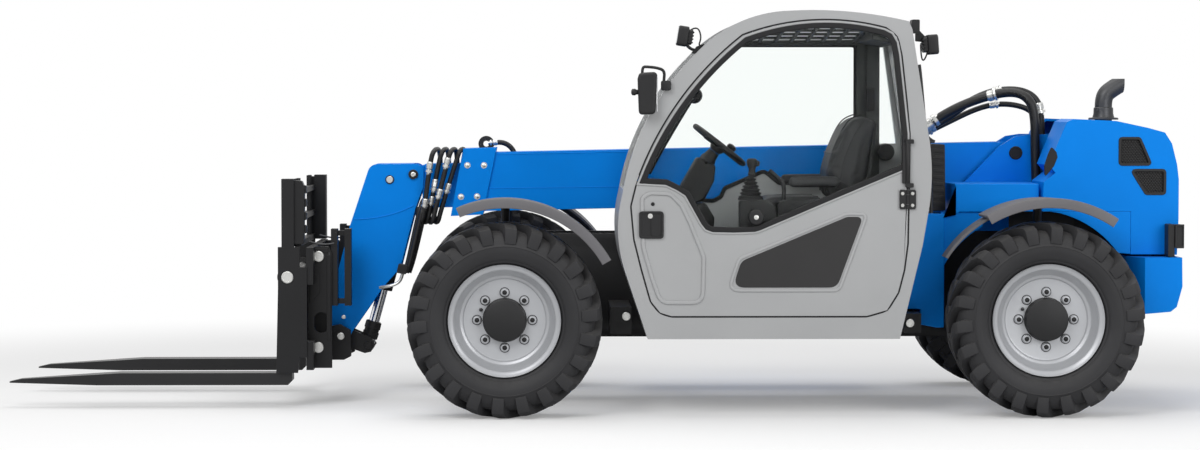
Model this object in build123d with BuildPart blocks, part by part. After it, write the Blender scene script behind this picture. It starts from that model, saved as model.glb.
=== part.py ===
from build123d import *
import os
import math

os.makedirs("parts", exist_ok=True)

# A compact telehandler, front toward -X, its left side (with the cab) toward -Y.
# Sizes in millimetres.  The ground is Z = 0.

# ---- driving sizes -------------------------------------------------------------
wheel_base = 2384
front_axle_x = -394
rear_axle_x = front_axle_x + wheel_base
tyre_radius = 430
tyre_width = 300
track_outer = 905            # outer face of a tyre from the middle plane
rim_radius = 226             # bead seat of the 18 inch rim
axle_z = tyre_radius
seat_gap = 0.3               # fit between pieces that are fastened together
pin_gap = 0.5                # fit between a pin and the eye that turns on it

flats = 44                   # flats round the tread; every second one is a lug
half_flat = 180 / flats
lug_r = 430
tread_r = 400
tread_half = 138             # half the width of the tread

boom_y = 95                  # middle of boom, tower, carriage
boom_pivot_x = 1967
boom_pivot_z = 1152
boom_slope = 1.16            # the boom rises this many degrees toward the rear
outer_width = 220
outer_top = 52               # above the pivot line
outer_bottom = -220
outer_front = -2450          # along the boom from the pivot
outer_rear = 75
outer_wall = 12
inner_width = 182
inner_top = 4
inner_bottom = -200
inner_wall = 12
inner_front = -2800
inner_rear = -420

tilt_pivot_x = -1168
tilt_pivot_z = 302
tilt_base_x = -829
tilt_base_z = 1053
tilt_eye_x = -1049
tilt_eye_z = 255
lift_base_x = 1870
lift_base_z = 560
lift_eye_x = 870
lift_eye_z = 820

plate_thick = 25             # the two long side plates of the chassis
plate_near = -60             # outer face of the left plate
plate_far = 250              # outer face of the right plate

cab_left = -830
cab_right = -75
cab_wall = 40
cab_width = cab_right - cab_left
door_thick = 34
door_gap = 5
door_hinge_x = 1372
door_hinge_y = cab_left - 10
hinge_r = 7
hinge_z = 960                # lower hinge
hinge_height = 84
upper_hinge_z = 1118

hood_half = 460
hood_wall = 12
hood_hinge_x = 2648
hood_hinge_z = 697
stack_x = 2348               # exhaust stack
stack_y = -200
stack_r = 45
elbow_r = 34

fork_spacing = 886
fork_width = 110
shaft_plate_y = fork_spacing / 2 + 12    # side plates that hold the fork shaft
shaft_half = shaft_plate_y + 17

steer_y = 600                # kingpins from the middle plane
tow_pin_x = 2604
tow_pin_r = 15
lifting_eye_u = -2458        # along the boom from its pivot
lifting_eye_v = 92
lifting_eye_r = 16

boom_plane = Plane(
    origin=(boom_pivot_x, boom_y, boom_pivot_z),
    x_dir=(math.cos(math.radians(boom_slope)), 0, math.sin(math.radians(boom_slope))),
    z_dir=(0, -1, 0),
)


# ---- chassis -------------------------------------------------------------------
with BuildPart() as main_frame:
    # two long side plates that rise into the tower
    for plate_y in (plate_near, plate_far - plate_thick):
        with BuildSketch(Plane.XZ.offset(-(plate_y + plate_thick))):
            with BuildLine():
                Polyline(
                    (-620, 420), (-620, 640), (-420, 780), (1560, 780), (1715, 1001), (1890, 1182),
                    (1964, 1228), (2029, 1238), (2186, 1238), (2121, 1006), (2121, 690), (2407, 690),
                    (2407, 440), (2121, 300), (-260, 300), (-620, 420),
                )
            make_face()
            with Locations((front_axle_x, axle_z), (rear_axle_x, axle_z)):
                Circle(80 + seat_gap, mode=Mode.SUBTRACT)
            with Locations((boom_pivot_x, boom_pivot_z)):
                Circle(30 + pin_gap, mode=Mode.SUBTRACT)
        extrude(amount=plate_thick)
    # belly plate and cross members between the plates
    with BuildSketch(Plane.XZ.offset(-boom_y)):
        with Locations((900, 310)):
            Rectangle(2000, 20)
        with Locations((-560, 530)):
            Rectangle(100, 160)
        with Locations((2112, 680)):
            Rectangle(18, 720)
        with Locations((640, 420)):
            Rectangle(60, 220)
    extrude(amount=(plate_far - plate_near) / 2 - 1, both=True)
    # pins for the boom and the foot of the lift cylinder
    with BuildSketch(Plane.XZ.offset(-plate_far)):
        with Locations((boom_pivot_x, boom_pivot_z)):
            Circle(30)
    extrude(amount=plate_far - plate_near - 12)
    with BuildSketch(Plane.XZ.offset(-plate_far)):
        with Locations((boom_pivot_x, boom_pivot_z)):
            Circle(52)
    extrude(amount=-10)
    with BuildSketch(Plane.XZ.offset(-plate_far)):
        with Locations((lift_base_x, lift_base_z)):
            Circle(25)
    extrude(amount=plate_far - plate_near)
    # arms that carry the left sill, and rubber-mount bosses for the cab
    with Locations((122, -310, 410)):
        Box(94, 500, 120)
    with Locations((1432, -310, 396)):
        Box(74, 500, 88)
    with BuildSketch(Plane.XZ.offset(-plate_near)):
        with Locations((330, 430), (1240, 430), (330, 700), (1240, 700)):
            Circle(38)
    extrude(amount=plate_near - cab_right)
    with BuildSketch(Plane.XZ.offset(550)):
        with Locations((146, 430), (1417, 398)):
            Circle(17)
    extrude(amount=22)
    # arms to the right for the side tank
    with Locations((330, 330, 440), (1240, 330, 440)):
        Box(90, 200, 80)
main_frame.part.label = "main_frame"
export_step(main_frame.part, "parts/main_frame.step")

for axle_name, axle_x in (("front_axle", front_axle_x), ("rear_axle", rear_axle_x)):
    with BuildPart() as axle:
        axle_plane = Plane(origin=(axle_x, 0, axle_z), x_dir=(0, 1, 0), z_dir=(1, 0, 0))
        with BuildSketch(axle_plane):
            with BuildLine():
                Polyline(
                    (-520, 0), (-520, 62), (-440, 62), (-330, 80), (-34, 80), (-20, 105), (205, 105),
                    (218, 80), (330, 80), (440, 62), (520, 62), (520, 0), (-520, 0),
                )
            make_face()
        revolve(axis=Axis((axle_x, 0, axle_z), (0, 1, 0)))
        # yokes that hold the kingpins
        for side in (-1, 1):
            with Locations((axle_x, side * 508, axle_z)):
                Box(110, 30, 250)
            with Locations((axle_x, side * 570, axle_z + 112), (axle_x, side * 570, axle_z - 112)):
                Box(96, 110, 26)
            with Locations((axle_x, side * steer_y, axle_z)):
                Cylinder(18, 250)
    axle.part.label = axle_name
    export_step(axle.part, "parts/" + axle_name + ".step")

# steering knuckles: a tube on the kingpin that carries the hub
wheel_table = (
    # name, axle_x, side
    ("front_left", front_axle_x, -1),
    ("front_right", front_axle_x, 1),
    ("rear_left", rear_axle_x, -1),
    ("rear_right", rear_axle_x, 1),
)


def ring_point(radius, degrees):
    angle = math.radians(degrees)
    return radius * math.cos(angle), -radius * math.sin(angle)


def flat_ring(radius):
    return [ring_point(radius, 270 + (2 * k - 1) * half_flat) for k in range(flats)]


def lug_ring(row):
    points = []
    for k in range(flats):
        middle = 270 + 2 * k * half_flat
        points.append(ring_point(tread_r, middle - half_flat))
        if k % 2 == row:
            tip_half = half_flat - 0.6
            tip_r = lug_r / math.cos(math.radians(tip_half))
            points.append(ring_point(tip_r, middle - tip_half))
            points.append(ring_point(tip_r, middle + tip_half))
    return points


def shoulder_block(k):
    middle = 270 + 2 * k * half_flat
    low_half, top_half = half_flat - 0.8, half_flat - 1.0
    return [ring_point(352, middle - low_half), ring_point(lug_r - 4, middle - top_half),
            ring_point(lug_r - 4, middle + top_half), ring_point(352, middle + low_half)]


for wheel_name, wheel_x, side in wheel_table:
    wheel_axis = Axis((wheel_x, 0, axle_z), (0, 1, 0))
    wheel_plane = Plane(origin=(wheel_x, 0, axle_z), x_dir=(0, 1, 0), z_dir=(1, 0, 0))
    with BuildPart() as knuckle:
        with Locations((wheel_x, side * steer_y, axle_z)):
            Cylinder(48, 190)
        with BuildSketch(wheel_plane):
            with BuildLine():
                Polyline(
                    (side * 620, 0), (side * 620, 92), (side * 700, 92), (side * 730, 128),
                    (side * 779.7, 128), (side * 779.7, 0), (side * 620, 0),
                )
            make_face()
        revolve(axis=wheel_axis)
        with Locations((wheel_x, side * steer_y, axle_z)):
            Cylinder(18 + pin_gap, 260, mode=Mode.SUBTRACT)
    knuckle.part.label = wheel_name + "_knuckle"
    export_step(knuckle.part, "parts/" + wheel_name + "_knuckle.step")

    with BuildPart() as rim:
        with BuildSketch(wheel_plane):
            with BuildLine():
                Polyline(
                    (side * 632, 246), (side * 642, 246), (side * 650, 226), (side * 680, 226),
                    (side * 702, 203), (side * 745, 206), (side * 825, 226), (side * 860, 226),
                    (side * 868, 246), (side * 878, 246), (side * 878, 238), (side * 866, 216),
                    (side * 810, 196), (side * 796, 172), (side * 796, 0), (side * 780, 0),
                    (side * 780, 176), (side * 745, 196), (side * 700, 190), (side * 640, 216),
                    (side * 632, 238), (side * 632, 246),
                )
            make_face()
        revolve(axis=wheel_axis)
        # hub cap and wheel nuts on the disc
        with BuildSketch(Plane(origin=(wheel_x, side * 796, axle_z), x_dir=(1, 0, 0), z_dir=(0, side, 0))):
            Circle(94)
        extrude(amount=46)
        with BuildSketch(Plane(origin=(wheel_x, side * 796, axle_z), x_dir=(1, 0, 0), z_dir=(0, side, 0))):
            with PolarLocations(121.5, 8):
                Circle(15)
        extrude(amount=20)
    rim.part.label = wheel_name + "_rim"
    export_step(rim.part, "parts/" + wheel_name + "_rim.step")

    # a faceted tyre: every second flat of each tread row carries a lug, and the rows are staggered
    tyre_mid = side * 755
    with BuildPart() as tyre:
        for out, radius in ((-104.5, 256), (-150, 330), (-tread_half, tread_r), (tread_half, tread_r), (150, 330),
                            (104.5, 256)):
            with BuildSketch(Plane(origin=(wheel_x, tyre_mid + out, axle_z), x_dir=(1, 0, 0), z_dir=(0, 1, 0))):
                with BuildLine():
                    Polyline(flat_ring(radius), close=True)
                make_face()
        loft(ruled=True)
        for row, row_start in ((0, tyre_mid - tread_half), (1, tyre_mid)):
            row_plane = Plane(origin=(wheel_x, row_start, axle_z), x_dir=(1, 0, 0), z_dir=(0, 1, 0))
            with BuildSketch(row_plane):
                with BuildLine():
                    Polyline(lug_ring(row), close=True)
                make_face()
                with BuildLine():
                    Polyline(flat_ring(345), close=True)
                make_face(mode=Mode.SUBTRACT)
            extrude(amount=tread_half)
        # the lugs run down over the outer shoulder
        with BuildSketch(Plane(origin=(wheel_x, tyre_mid + side * 120, axle_z), x_dir=(1, 0, 0), z_dir=(0, 1, 0))):
            for lug in range(0 if side < 0 else 1, flats, 2):
                with BuildLine():
                    Polyline(shoulder_block(lug), close=True)
                make_face()
        extrude(amount=side * 27)
        with BuildSketch(Plane(origin=(wheel_x, tyre_mid - 110, axle_z), x_dir=(1, 0, 0), z_dir=(0, 1, 0))):
            with BuildLine():
                Polyline(flat_ring(226.3 / math.cos(math.radians(half_flat))), close=True)
            make_face()
        extrude(amount=220, mode=Mode.SUBTRACT)
    tyre.part.label = wheel_name + "_tyre"
    export_step(tyre.part, "parts/" + wheel_name + "_tyre.step")

# fenders: curved sheets over the wheels, each on a tubular stay
with BuildPart() as fenders:
    for arch_x, start_angle, end_angle in ((front_axle_x, 32, 113), (rear_axle_x, 56, 119)):
        for side in (-1, 1):
            arch_plane = Plane(origin=(arch_x, side * 612, axle_z), x_dir=(1, 0, 0), z_dir=(0, -1, 0))
            with BuildSketch(arch_plane):
                with BuildLine():
                    outer_arc = CenterArc((0, 0), 535, start_angle, end_angle - start_angle)
                    inner_arc = CenterArc((0, 0), 523, start_angle, end_angle - start_angle)
                    Line(outer_arc @ 0, inner_arc @ 0)
                    Line(outer_arc @ 1, inner_arc @ 1)
                make_face()
            extrude(amount=-side * 288)
            # turned-down lip along the outer edge
            lip_plane = Plane(origin=(arch_x, side * 887, axle_z), x_dir=(1, 0, 0), z_dir=(0, -1, 0))
            with BuildSketch(lip_plane):
                with BuildLine():
                    lip_arc = CenterArc((0, 0), 535, start_angle, end_angle - start_angle)
                    edge_arc = CenterArc((0, 0), 494, start_angle, end_angle - start_angle)
                    Line(lip_arc @ 0, edge_arc @ 0)
                    Line(lip_arc @ 1, edge_arc @ 1)
                make_face()
            extrude(amount=-side * 13)
    # each sheet stands on a bent stay bolted to the axle end
    for stay_x in (front_axle_x, rear_axle_x):
        for side in (-1, 1):
            with Locations((stay_x, side * 542, axle_z + 326.15)):
                Box(70, 24, 401.7)
            with Locations((stay_x, side * 640, axle_z + 514)):
                Box(70, 220, 26)
fenders.part.label = "fenders"
export_step(fenders.part, "parts/fenders.step")

# left body behind the cab, with the ledge beside the tower
with BuildPart() as left_body:
    with BuildSketch(Plane.XZ.offset(-plate_near + seat_gap)):
        with BuildLine():
            Polyline(
                (1398, 450), (1482, 450), (1482, 380), (1556, 366), (1590, 366), (1590, 860), (1660, 890),
                (2018, 892), (2018, 1018), (1636, 1018), (1636, 882), (1483, 882),
                (1456, 757), (1427, 591), (1398, 450),
            )
        make_face()
    extrude(amount=360)
    # step that the supply hoses end on
    with Locations((2054, plate_near - seat_gap - 29, 1004)):
        Box(92, 58, 28)
left_body.part.label = "left_body"
export_step(left_body.part, "parts/left_body.step")

with BuildPart() as right_body:
    with BuildSketch(Plane.XZ.offset(-460)):
        with BuildLine():
            Polyline((1640, 892), (1640, 1018), (2018, 1018), (2018, 892), (1640, 892))
        make_face()
    extrude(amount=460 - plate_far - seat_gap)
right_body.part.label = "right_body"
export_step(right_body.part, "parts/right_body.step")

with BuildPart() as side_tank:
    with BuildSketch(Plane.XZ.offset(-830)):
        with BuildLine():
            Polyline((165, 380), (140, 860), (1470, 860), (1400, 380), (165, 380))
        make_face()
    extrude(amount=830 - 430 - seat_gap)
side_tank.part.label = "side_tank"
export_step(side_tank.part, "parts/side_tank.step")

# ---- rear end ------------------------------------------------------------------
with BuildPart() as counterweight:
    with BuildSketch(Plane.XZ.offset(-560)):
        with BuildLine():
            Polyline(
                (2408, 690), (2641, 690), (2643, 560), (2618, 468), (2590, 446), (2470, 436),
                (2408, 470), (2408, 690),
            )
        make_face()
    extrude(amount=1120)
    # the front corners are cut back for the steered wheels
    for side in (-1, 1):
        with BuildSketch(Plane.XY.offset(400)):
            with BuildLine():
                Polyline((2400, side * 440), (2400, side * 570), (2480, side * 570), (2400, side * 440))
            make_face()
        extrude(amount=400, mode=Mode.SUBTRACT)
    # pads that the hood shuts on
    for side in (-1, 1):
        with Locations((2615, side * 180, 694.7)):
            Box(50, 60, 10)
    # tow jaw and its pin hole
    with Locations((2620, 0, 560)):
        Box(120, 120, 60, mode=Mode.SUBTRACT)
    with Locations((tow_pin_x, 0, 600)):
        Cylinder(tow_pin_r, 400, mode=Mode.SUBTRACT)
counterweight.part.label = "counterweight"
export_step(counterweight.part, "parts/counterweight.step")

with BuildPart() as tail_lamps:
    for side in (-1, 1):
        with Locations((2595, side * (hood_half + 46), 765.3)):
            Box(32, 76, 150)
        with Locations((2631, side * (hood_half + 50), 785)):
            Box(42, 80, 106)
tail_lamps.part.label = "tail_lamps"
export_step(tail_lamps.part, "parts/tail_lamps.step")

with BuildPart() as engine_block:
    with Locations((2390, 0, 885)):
        Box(380, 560, 389.4)
engine_block.part.label = "engine_block"
export_step(engine_block.part, "parts/engine_block.step")

with BuildSketch() as hood_outline:
    with BuildLine():
        Polyline(
            (2028, 894), (2032, 1026), (2086, 1068), (2055, 1104), (2082, 1172), (2136, 1298),
            (2167, 1311), (2360, 1302), (2504, 1271), (2580, 1250), (2612, 1200), (2636, 1104),
            (2644, 1037), (2644, 860), (2638, 700), (2428, 700), (2428, 894), (2028, 894),
        )
    make_face()
hood_cavity = offset(hood_outline.sketch, amount=-hood_wall)
with BuildPart() as hood_shell:
    with BuildSketch(Plane.XZ.offset(-hood_half)):
        add(hood_outline.sketch)
    extrude(amount=2 * hood_half)
    with BuildSketch(Plane.XZ.offset(-(hood_half - hood_wall))):
        add(hood_cavity)
    extrude(amount=2 * (hood_half - hood_wall), mode=Mode.SUBTRACT)
    # open underneath
    with Locations((2338, 0, 800)):
        Box(588, 2 * (hood_half - hood_wall), 260, mode=Mode.SUBTRACT)
    # slot for the tower
    with Locations((2120, 82.5, 1100)):
        Box(240, 415, 500, mode=Mode.SUBTRACT)
    # grille openings in both sides
    with BuildSketch(Plane.XZ.offset(-(hood_half + 20))):
        with BuildLine():
            Polyline((2378, 1222), (2464, 1222), (2514, 1108), (2378, 1108), (2378, 1222))
        make_face()
        with BuildLine():
            Polyline((2432, 1078), (2578, 1078), (2578, 976), (2496, 976), (2432, 1078))
        make_face()
    extrude(amount=2 * (hood_half + 20), mode=Mode.SUBTRACT)
    with Locations((stack_x, stack_y, 1290)):
        Cylinder(stack_r - 3, 80, mode=Mode.SUBTRACT)
    # hinge barrels along the lower rear edge
    for barrel_y in (-330, 0, 330):
        with BuildSketch(Plane.XZ.offset(-barrel_y - 60)):
            with Locations((hood_hinge_x, hood_hinge_z)):
                Circle(3.8)
        extrude(amount=120)
        with Locations((hood_hinge_x - 7, barrel_y, hood_hinge_z + 5)):
            Box(10, 120, 6)
hood_shell.part.label = "hood_shell"
export_step(hood_shell.part, "parts/hood_shell.step")

with BuildPart() as grilles:
    with BuildSketch(Plane.XZ.offset(-(hood_half - 4))):
        with BuildLine():
            Polyline((2378.3, 1221), (2463, 1221), (2512.5, 1108.3), (2378.3, 1108.3), (2378.3, 1221))
        make_face()
        with BuildLine():
            Polyline((2433, 1077.7), (2577.7, 1077.7), (2577.7, 976.3), (2497, 976.3), (2433, 1077.7))
        make_face()
    extrude(amount=4)
    with BuildSketch(Plane.XZ.offset(hood_half - 8)):
        with BuildLine():
            Polyline((2378.3, 1221), (2463, 1221), (2512.5, 1108.3), (2378.3, 1108.3), (2378.3, 1221))
        make_face()
        with BuildLine():
            Polyline((2433, 1077.7), (2577.7, 1077.7), (2577.7, 976.3), (2497, 976.3), (2433, 1077.7))
        make_face()
    extrude(amount=4)
grilles.part.label = "grilles"
export_step(grilles.part, "parts/grilles.step")

with BuildPart() as exhaust_stack:
    with BuildLine() as stack_line:
        Line((stack_x, stack_y, 1270), (stack_x, stack_y, 1360))
        TangentArc((stack_x, stack_y, 1360), (stack_x + 29, stack_y, 1411.4), tangent=(0, 0, 1))
        Line((stack_x + 29, stack_y, 1411.4), (stack_x + 122, stack_y, 1467.3))
    with BuildSketch(Plane(origin=(stack_x, stack_y, 1270), z_dir=(0, 0, 1))):
        Circle(elbow_r)
    sweep()
    # sleeve and flange at its foot
    with Locations((stack_x, stack_y, 1349.5)):
        Cylinder(stack_r, 85)
    with Locations((stack_x, stack_y, 1311.5)):
        Cylinder(stack_r + 25, 10)
    # upright cut at the mouth, and the bore seen in it
    with Locations((stack_x + 138, stack_y, 1460)):
        Box(100, 120, 140, mode=Mode.SUBTRACT)
    with BuildSketch(Plane(origin=(stack_x + 128, stack_y, 1471), z_dir=(0.857, 0, 0.515))):
        Circle(elbow_r - 4)
    extrude(amount=-95, mode=Mode.SUBTRACT)
exhaust_stack.part.label = "exhaust_stack"
export_step(exhaust_stack.part, "parts/exhaust_stack.step")

# ---- boom ----------------------------------------------------------------------
with BuildPart() as outer_boom:
    with BuildSketch(boom_plane):
        with BuildLine():
            Polyline(
                (-2550, outer_top), (-60, outer_top), (outer_rear, 34), (outer_rear, -60),
                (-60, outer_bottom), (-2600, outer_bottom), (-2550, outer_top),
            )
        make_face()
    extrude(amount=outer_width / 2, both=True)
    # nose collar
    with BuildSketch(boom_plane):
        with BuildLine():
            Polyline((-2628, -240), (-2478, -236), (-2408, 74), (-2564, 72), (-2628, -240))
        make_face()
    extrude(amount=outer_width / 2 + 12, both=True)
    with BuildSketch(boom_plane):
        with Locations((-1500, (inner_top + inner_bottom) / 2 + 1)):
            Rectangle(2400, inner_top - inner_bottom + 18)
    extrude(amount=inner_width / 2 + 7, both=True, mode=Mode.SUBTRACT)
    # wear pad under the inner boom
    with BuildSketch(boom_plane):
        with Locations((-2530, inner_bottom - 4.15)):
            Rectangle(80, 7.7)
    extrude(amount=80, both=True)
    # lugs for the lift cylinder
    for lug_y in (-44, 44):
        lug_plane = Plane(
            origin=(boom_pivot_x, boom_y + lug_y, boom_pivot_z),
            x_dir=boom_plane.x_dir, z_dir=(0, -1, 0),
        )
        with BuildSketch(lug_plane):
            with BuildLine():
                Polyline(
                    (-1250, -219), (-960, -219), (-1062, -352), (-1146, -352), (-1250, -219),
                )
            make_face()
        extrude(amount=8, both=True)
    # lifting eye on top of the nose
    with BuildSketch(boom_plane):
        with Locations((lifting_eye_u, lifting_eye_v)):
            Circle(lifting_eye_r + 18)
            Circle(lifting_eye_r, mode=Mode.SUBTRACT)
    extrude(amount=10, both=True)
    with BuildSketch(boom_plane):
        Circle(30 + pin_gap)
    extrude(amount=outer_width, both=True, mode=Mode.SUBTRACT)
outer_boom.part.label = "outer_boom"
export_step(outer_boom.part, "parts/outer_boom.step")

with BuildPart() as inner_boom:
    with BuildSketch(boom_plane):
        with Locations(((-2745.7 + inner_rear) / 2, (inner_top + inner_bottom) / 2)):
            Rectangle(-(-2745.7 - inner_rear), inner_top - inner_bottom)
    extrude(amount=inner_width / 2, both=True)
    with BuildSketch(boom_plane):
        with Locations((-1700, (inner_top + inner_bottom) / 2)):
            Rectangle(2800, inner_top - inner_bottom - 2 * inner_wall)
    extrude(amount=inner_width / 2 - inner_wall, both=True, mode=Mode.SUBTRACT)
    # wear pad on top of the tail
    with BuildSketch(boom_plane):
        with Locations((inner_rear - 60, inner_top + 4.85)):
            Rectangle(80, 9.7)
    extrude(amount=70, both=True)
inner_boom.part.label = "inner_boom"
export_step(inner_boom.part, "parts/inner_boom.step")

with BuildPart() as boom_head:
    for head_y in (0, 210):
        with BuildSketch(Plane.XZ.offset(-head_y)):
            with BuildLine():
                ThreePointArc((-1039, 1069), (-1022.6, 1091.5), (-996, 1100))
                Line((-996, 1100), (-822, 1101.5))
                ThreePointArc((-822, 1101.5), (-793.5, 1089.5), (-782, 1061))
                Polyline(
                    (-782, 1061), (-784, 993), (-822, 887), (-891, 617), (-970, 529), (-1114, 322),
                    (-1140, 262), (-1196, 262), (-1216, 348), (-1216, 468), (-1125, 810), (-1039, 1069),
                )
            make_face()
            with Locations((tilt_pivot_x, tilt_pivot_z)):
                Circle(25 + pin_gap, mode=Mode.SUBTRACT)
        extrude(amount=20)
    # front skin and rear bulkhead
    with BuildSketch(Plane.XZ):
        with BuildLine():
            Polyline(
                (-1216, 468), (-1125, 810), (-1039, 1069), (-1022.6, 1091.5), (-996, 1100), (-830, 1101),
                (-830, 1089), (-990, 1088), (-1026, 1064), (-1112, 806), (-1201, 472), (-1216, 468),
            )
        make_face()
    extrude(amount=-190)
    with BuildSketch(boom_plane):
        with Locations((-2752, -95)):
            Rectangle(12, 186)
    extrude(amount=95, both=True)
    with BuildSketch(Plane.XZ.offset(-200)):
        with Locations((tilt_base_x, tilt_base_z)):
            Circle(22)
    extrude(amount=210)
boom_head.part.label = "boom_head"
export_step(boom_head.part, "parts/boom_head.step")

# ---- cylinders -----------------------------------------------------------------
cylinder_table = (
    # name, base x, base z, eye x, eye z, barrel radius, rod radius, pin radius, barrel end, rod start
    ("lift", lift_base_x, lift_base_z, lift_eye_x, lift_eye_z, 55, 30, 25, 905, 250),
    ("tilt", tilt_base_x, tilt_base_z, tilt_eye_x, tilt_eye_z, 44, 24, 22, 560, 250),
)
for cyl_name, base_x, base_z, eye_x, eye_z, barrel_r, rod_r, pin_r, barrel_end, rod_start in cylinder_table:
    cyl_length = math.hypot(eye_x - base_x, eye_z - base_z)
    cyl_plane = Plane(
        origin=(base_x, boom_y, base_z), x_dir=(0, 1, 0),
        z_dir=((eye_x - base_x) / cyl_length, 0, (eye_z - base_z) / cyl_length),
    )
    with BuildPart() as barrel:
        with BuildSketch(cyl_plane.offset(30)):
            Circle(barrel_r)
        extrude(amount=barrel_end - 30)
        with BuildSketch(Plane.XZ.offset(-boom_y)):
            with Locations((base_x, base_z)):
                Circle(pin_r + 12)
        extrude(amount=28, both=True)
        with BuildSketch(cyl_plane.offset(70)):
            Circle(rod_r + 1)
        extrude(amount=barrel_end, mode=Mode.SUBTRACT)
        with BuildSketch(Plane.XZ.offset(-boom_y)):
            with Locations((base_x, base_z)):
                Circle(pin_r + pin_gap)
        extrude(amount=60, both=True, mode=Mode.SUBTRACT)
    barrel.part.label = cyl_name + "_barrel"
    export_step(barrel.part, "parts/" + cyl_name + "_barrel.step")

    with BuildPart() as rod:
        with BuildSketch(cyl_plane.offset(rod_start)):
            Circle(rod_r)
        extrude(amount=cyl_length - rod_start - 20)
        with BuildSketch(cyl_plane.offset(cyl_length - 90)):
            Circle(rod_r + 6)
        extrude(amount=80)
        with BuildSketch(Plane.XZ.offset(-boom_y)):
            with Locations((eye_x, eye_z)):
                Circle(rod_r + 10)
        extrude(amount=24, both=True)
    rod.part.label = cyl_name + "_rod"
    export_step(rod.part, "parts/" + cyl_name + "_rod.step")

# ---- carriage and forks --------------------------------------------------------
with BuildPart() as carriage_frame:
    for side in (-1, 1):
        # outer plates that hold the fork shaft
        with BuildSketch(Plane.XZ.offset(-(boom_y + side * shaft_plate_y + 10))):
            with BuildLine():
                Polyline(
                    (-1427, 731), (-1329, 731), (-1329, 640), (-1296, 640), (-1296, 230), (-1329, 230),
                    (-1338, 160), (-1436, 160), (-1427, 540), (-1427, 731),
                )
            make_face()
            with Locations((-1384, 594)):
                Circle(28, mode=Mode.SUBTRACT)
        extrude(amount=20)
        # hitch plates
        with BuildSketch(Plane.XZ.offset(-(boom_y + side * 335 + 10))):
            with BuildLine():
                Polyline(
                    (-1300, 728), (-1205, 728), (-1192, 700), (-1192, 172), (-1300, 172), (-1300, 728),
                )
            make_face()
            with Locations((-1240, 380)):
                SlotOverall(96, 66, rotation=90, mode=Mode.SUBTRACT)
        extrude(amount=20)
        # channel behind each hitch plate
        with Locations((-1120, boom_y + side * 290, 632), (-1182, boom_y + side * 290, 632)):
            Box(30, 70, 352)
        for tie_z in (476, 788):
            with Locations((-1150, boom_y + side * 290, tie_z)):
                Box(60, 20, 24)
        # ears outside the boom head
        with BuildSketch(Plane.XZ.offset(-(boom_y + side * 136 + 16))):
            with BuildLine():
                Polyline(
                    (-1300, 300), (-1200, 352), (-1168, 358), (-1120, 330), (-1118, 210), (-1150, 193),
                    (-1300, 193), (-1300, 300),
                )
            make_face()
        extrude(amount=32)
        # levers for the rod eye
        with BuildSketch(Plane.XZ.offset(-(boom_y + side * 45 + 10))):
            with BuildLine():
                Polyline((-1190, 262), (-1190, 340), (-1150, 340), (-1032, 290), (-1010, 255), (-1032, 222),
                         (-1060, 216), (-1190, 262))
            make_face()
        extrude(amount=20)
    # cross beams
    for beam_z, beam_height in ((644, 168), (236, 128)):
        with Locations((-1284, boom_y, beam_z)):
            Box(32, 2 * shaft_plate_y, beam_height)
    # pivot shaft, turning in the boom head
    with BuildSketch(Plane.XZ.offset(-(boom_y + 156))):
        with Locations((tilt_pivot_x, tilt_pivot_z)):
            Circle(25)
    extrude(amount=312)
carriage_frame.part.label = "carriage_frame"
export_step(carriage_frame.part, "parts/carriage_frame.step")

with BuildPart() as fork_shaft:
    with BuildSketch(Plane.XZ.offset(-(boom_y + shaft_half))):
        with Locations((-1384, 594)):
            Circle(27.7)
    extrude(amount=2 * shaft_half)
fork_shaft.part.label = "fork_shaft"
export_step(fork_shaft.part, "parts/fork_shaft.step")

with BuildPart() as forks:
    for side in (-1, 1):
        with BuildSketch(Plane.XZ.offset(-(boom_y + side * (fork_spacing / 2 - 55) + 55))):
            with BuildLine():
                Polyline(
                    (-2652, 112), (-2652, 118), (-2600, 130), (-2150, 158), (-1420, 158), (-1420, 560),
                    (-1350, 560), (-1366, 540), (-1366, 122), (-1385, 103), (-2250, 103), (-2652, 112),
                )
            make_face()
            with Locations((-1384, 594)):
                Circle(48)
                Circle(28, mode=Mode.SUBTRACT)
        extrude(amount=fork_width)
        # the tip narrows in plan
        with BuildSketch(Plane.XY.offset(60)):
            with BuildLine():
                fork_mid = boom_y + side * (fork_spacing / 2 - 55)
                Polyline((-2700, fork_mid - 70), (-2250, fork_mid - 70), (-2250, fork_mid - 55),
                         (-2660, fork_mid - 18), (-2700, fork_mid - 18), (-2700, fork_mid - 70))
            make_face()
            mirror(about=Plane.XZ.offset(-fork_mid))
        extrude(amount=120, mode=Mode.SUBTRACT)
forks.part.label = "forks"
export_step(forks.part, "parts/forks.step")

with BuildPart() as load_backrest:
    for side, post_x in ((-1, -1382), (1, -1300)):
        with Locations((post_x, boom_y + side * (shaft_plate_y - 30), 885.5)):
            Box(56, 80, 308)
        for bar in (1, 2, 3):
            with Locations((-1347, boom_y + side * (shaft_plate_y - 35 - 50 * bar), 885.5)):
                Box(16, 12, 308)
    for rail_z in (745, 860, 980):
        with Locations((-1341, boom_y, rail_z)):
            Box(32, 2 * shaft_plate_y - 120, 24)
load_backrest.part.label = "load_backrest"
export_step(load_backrest.part, "parts/load_backrest.step")

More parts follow.
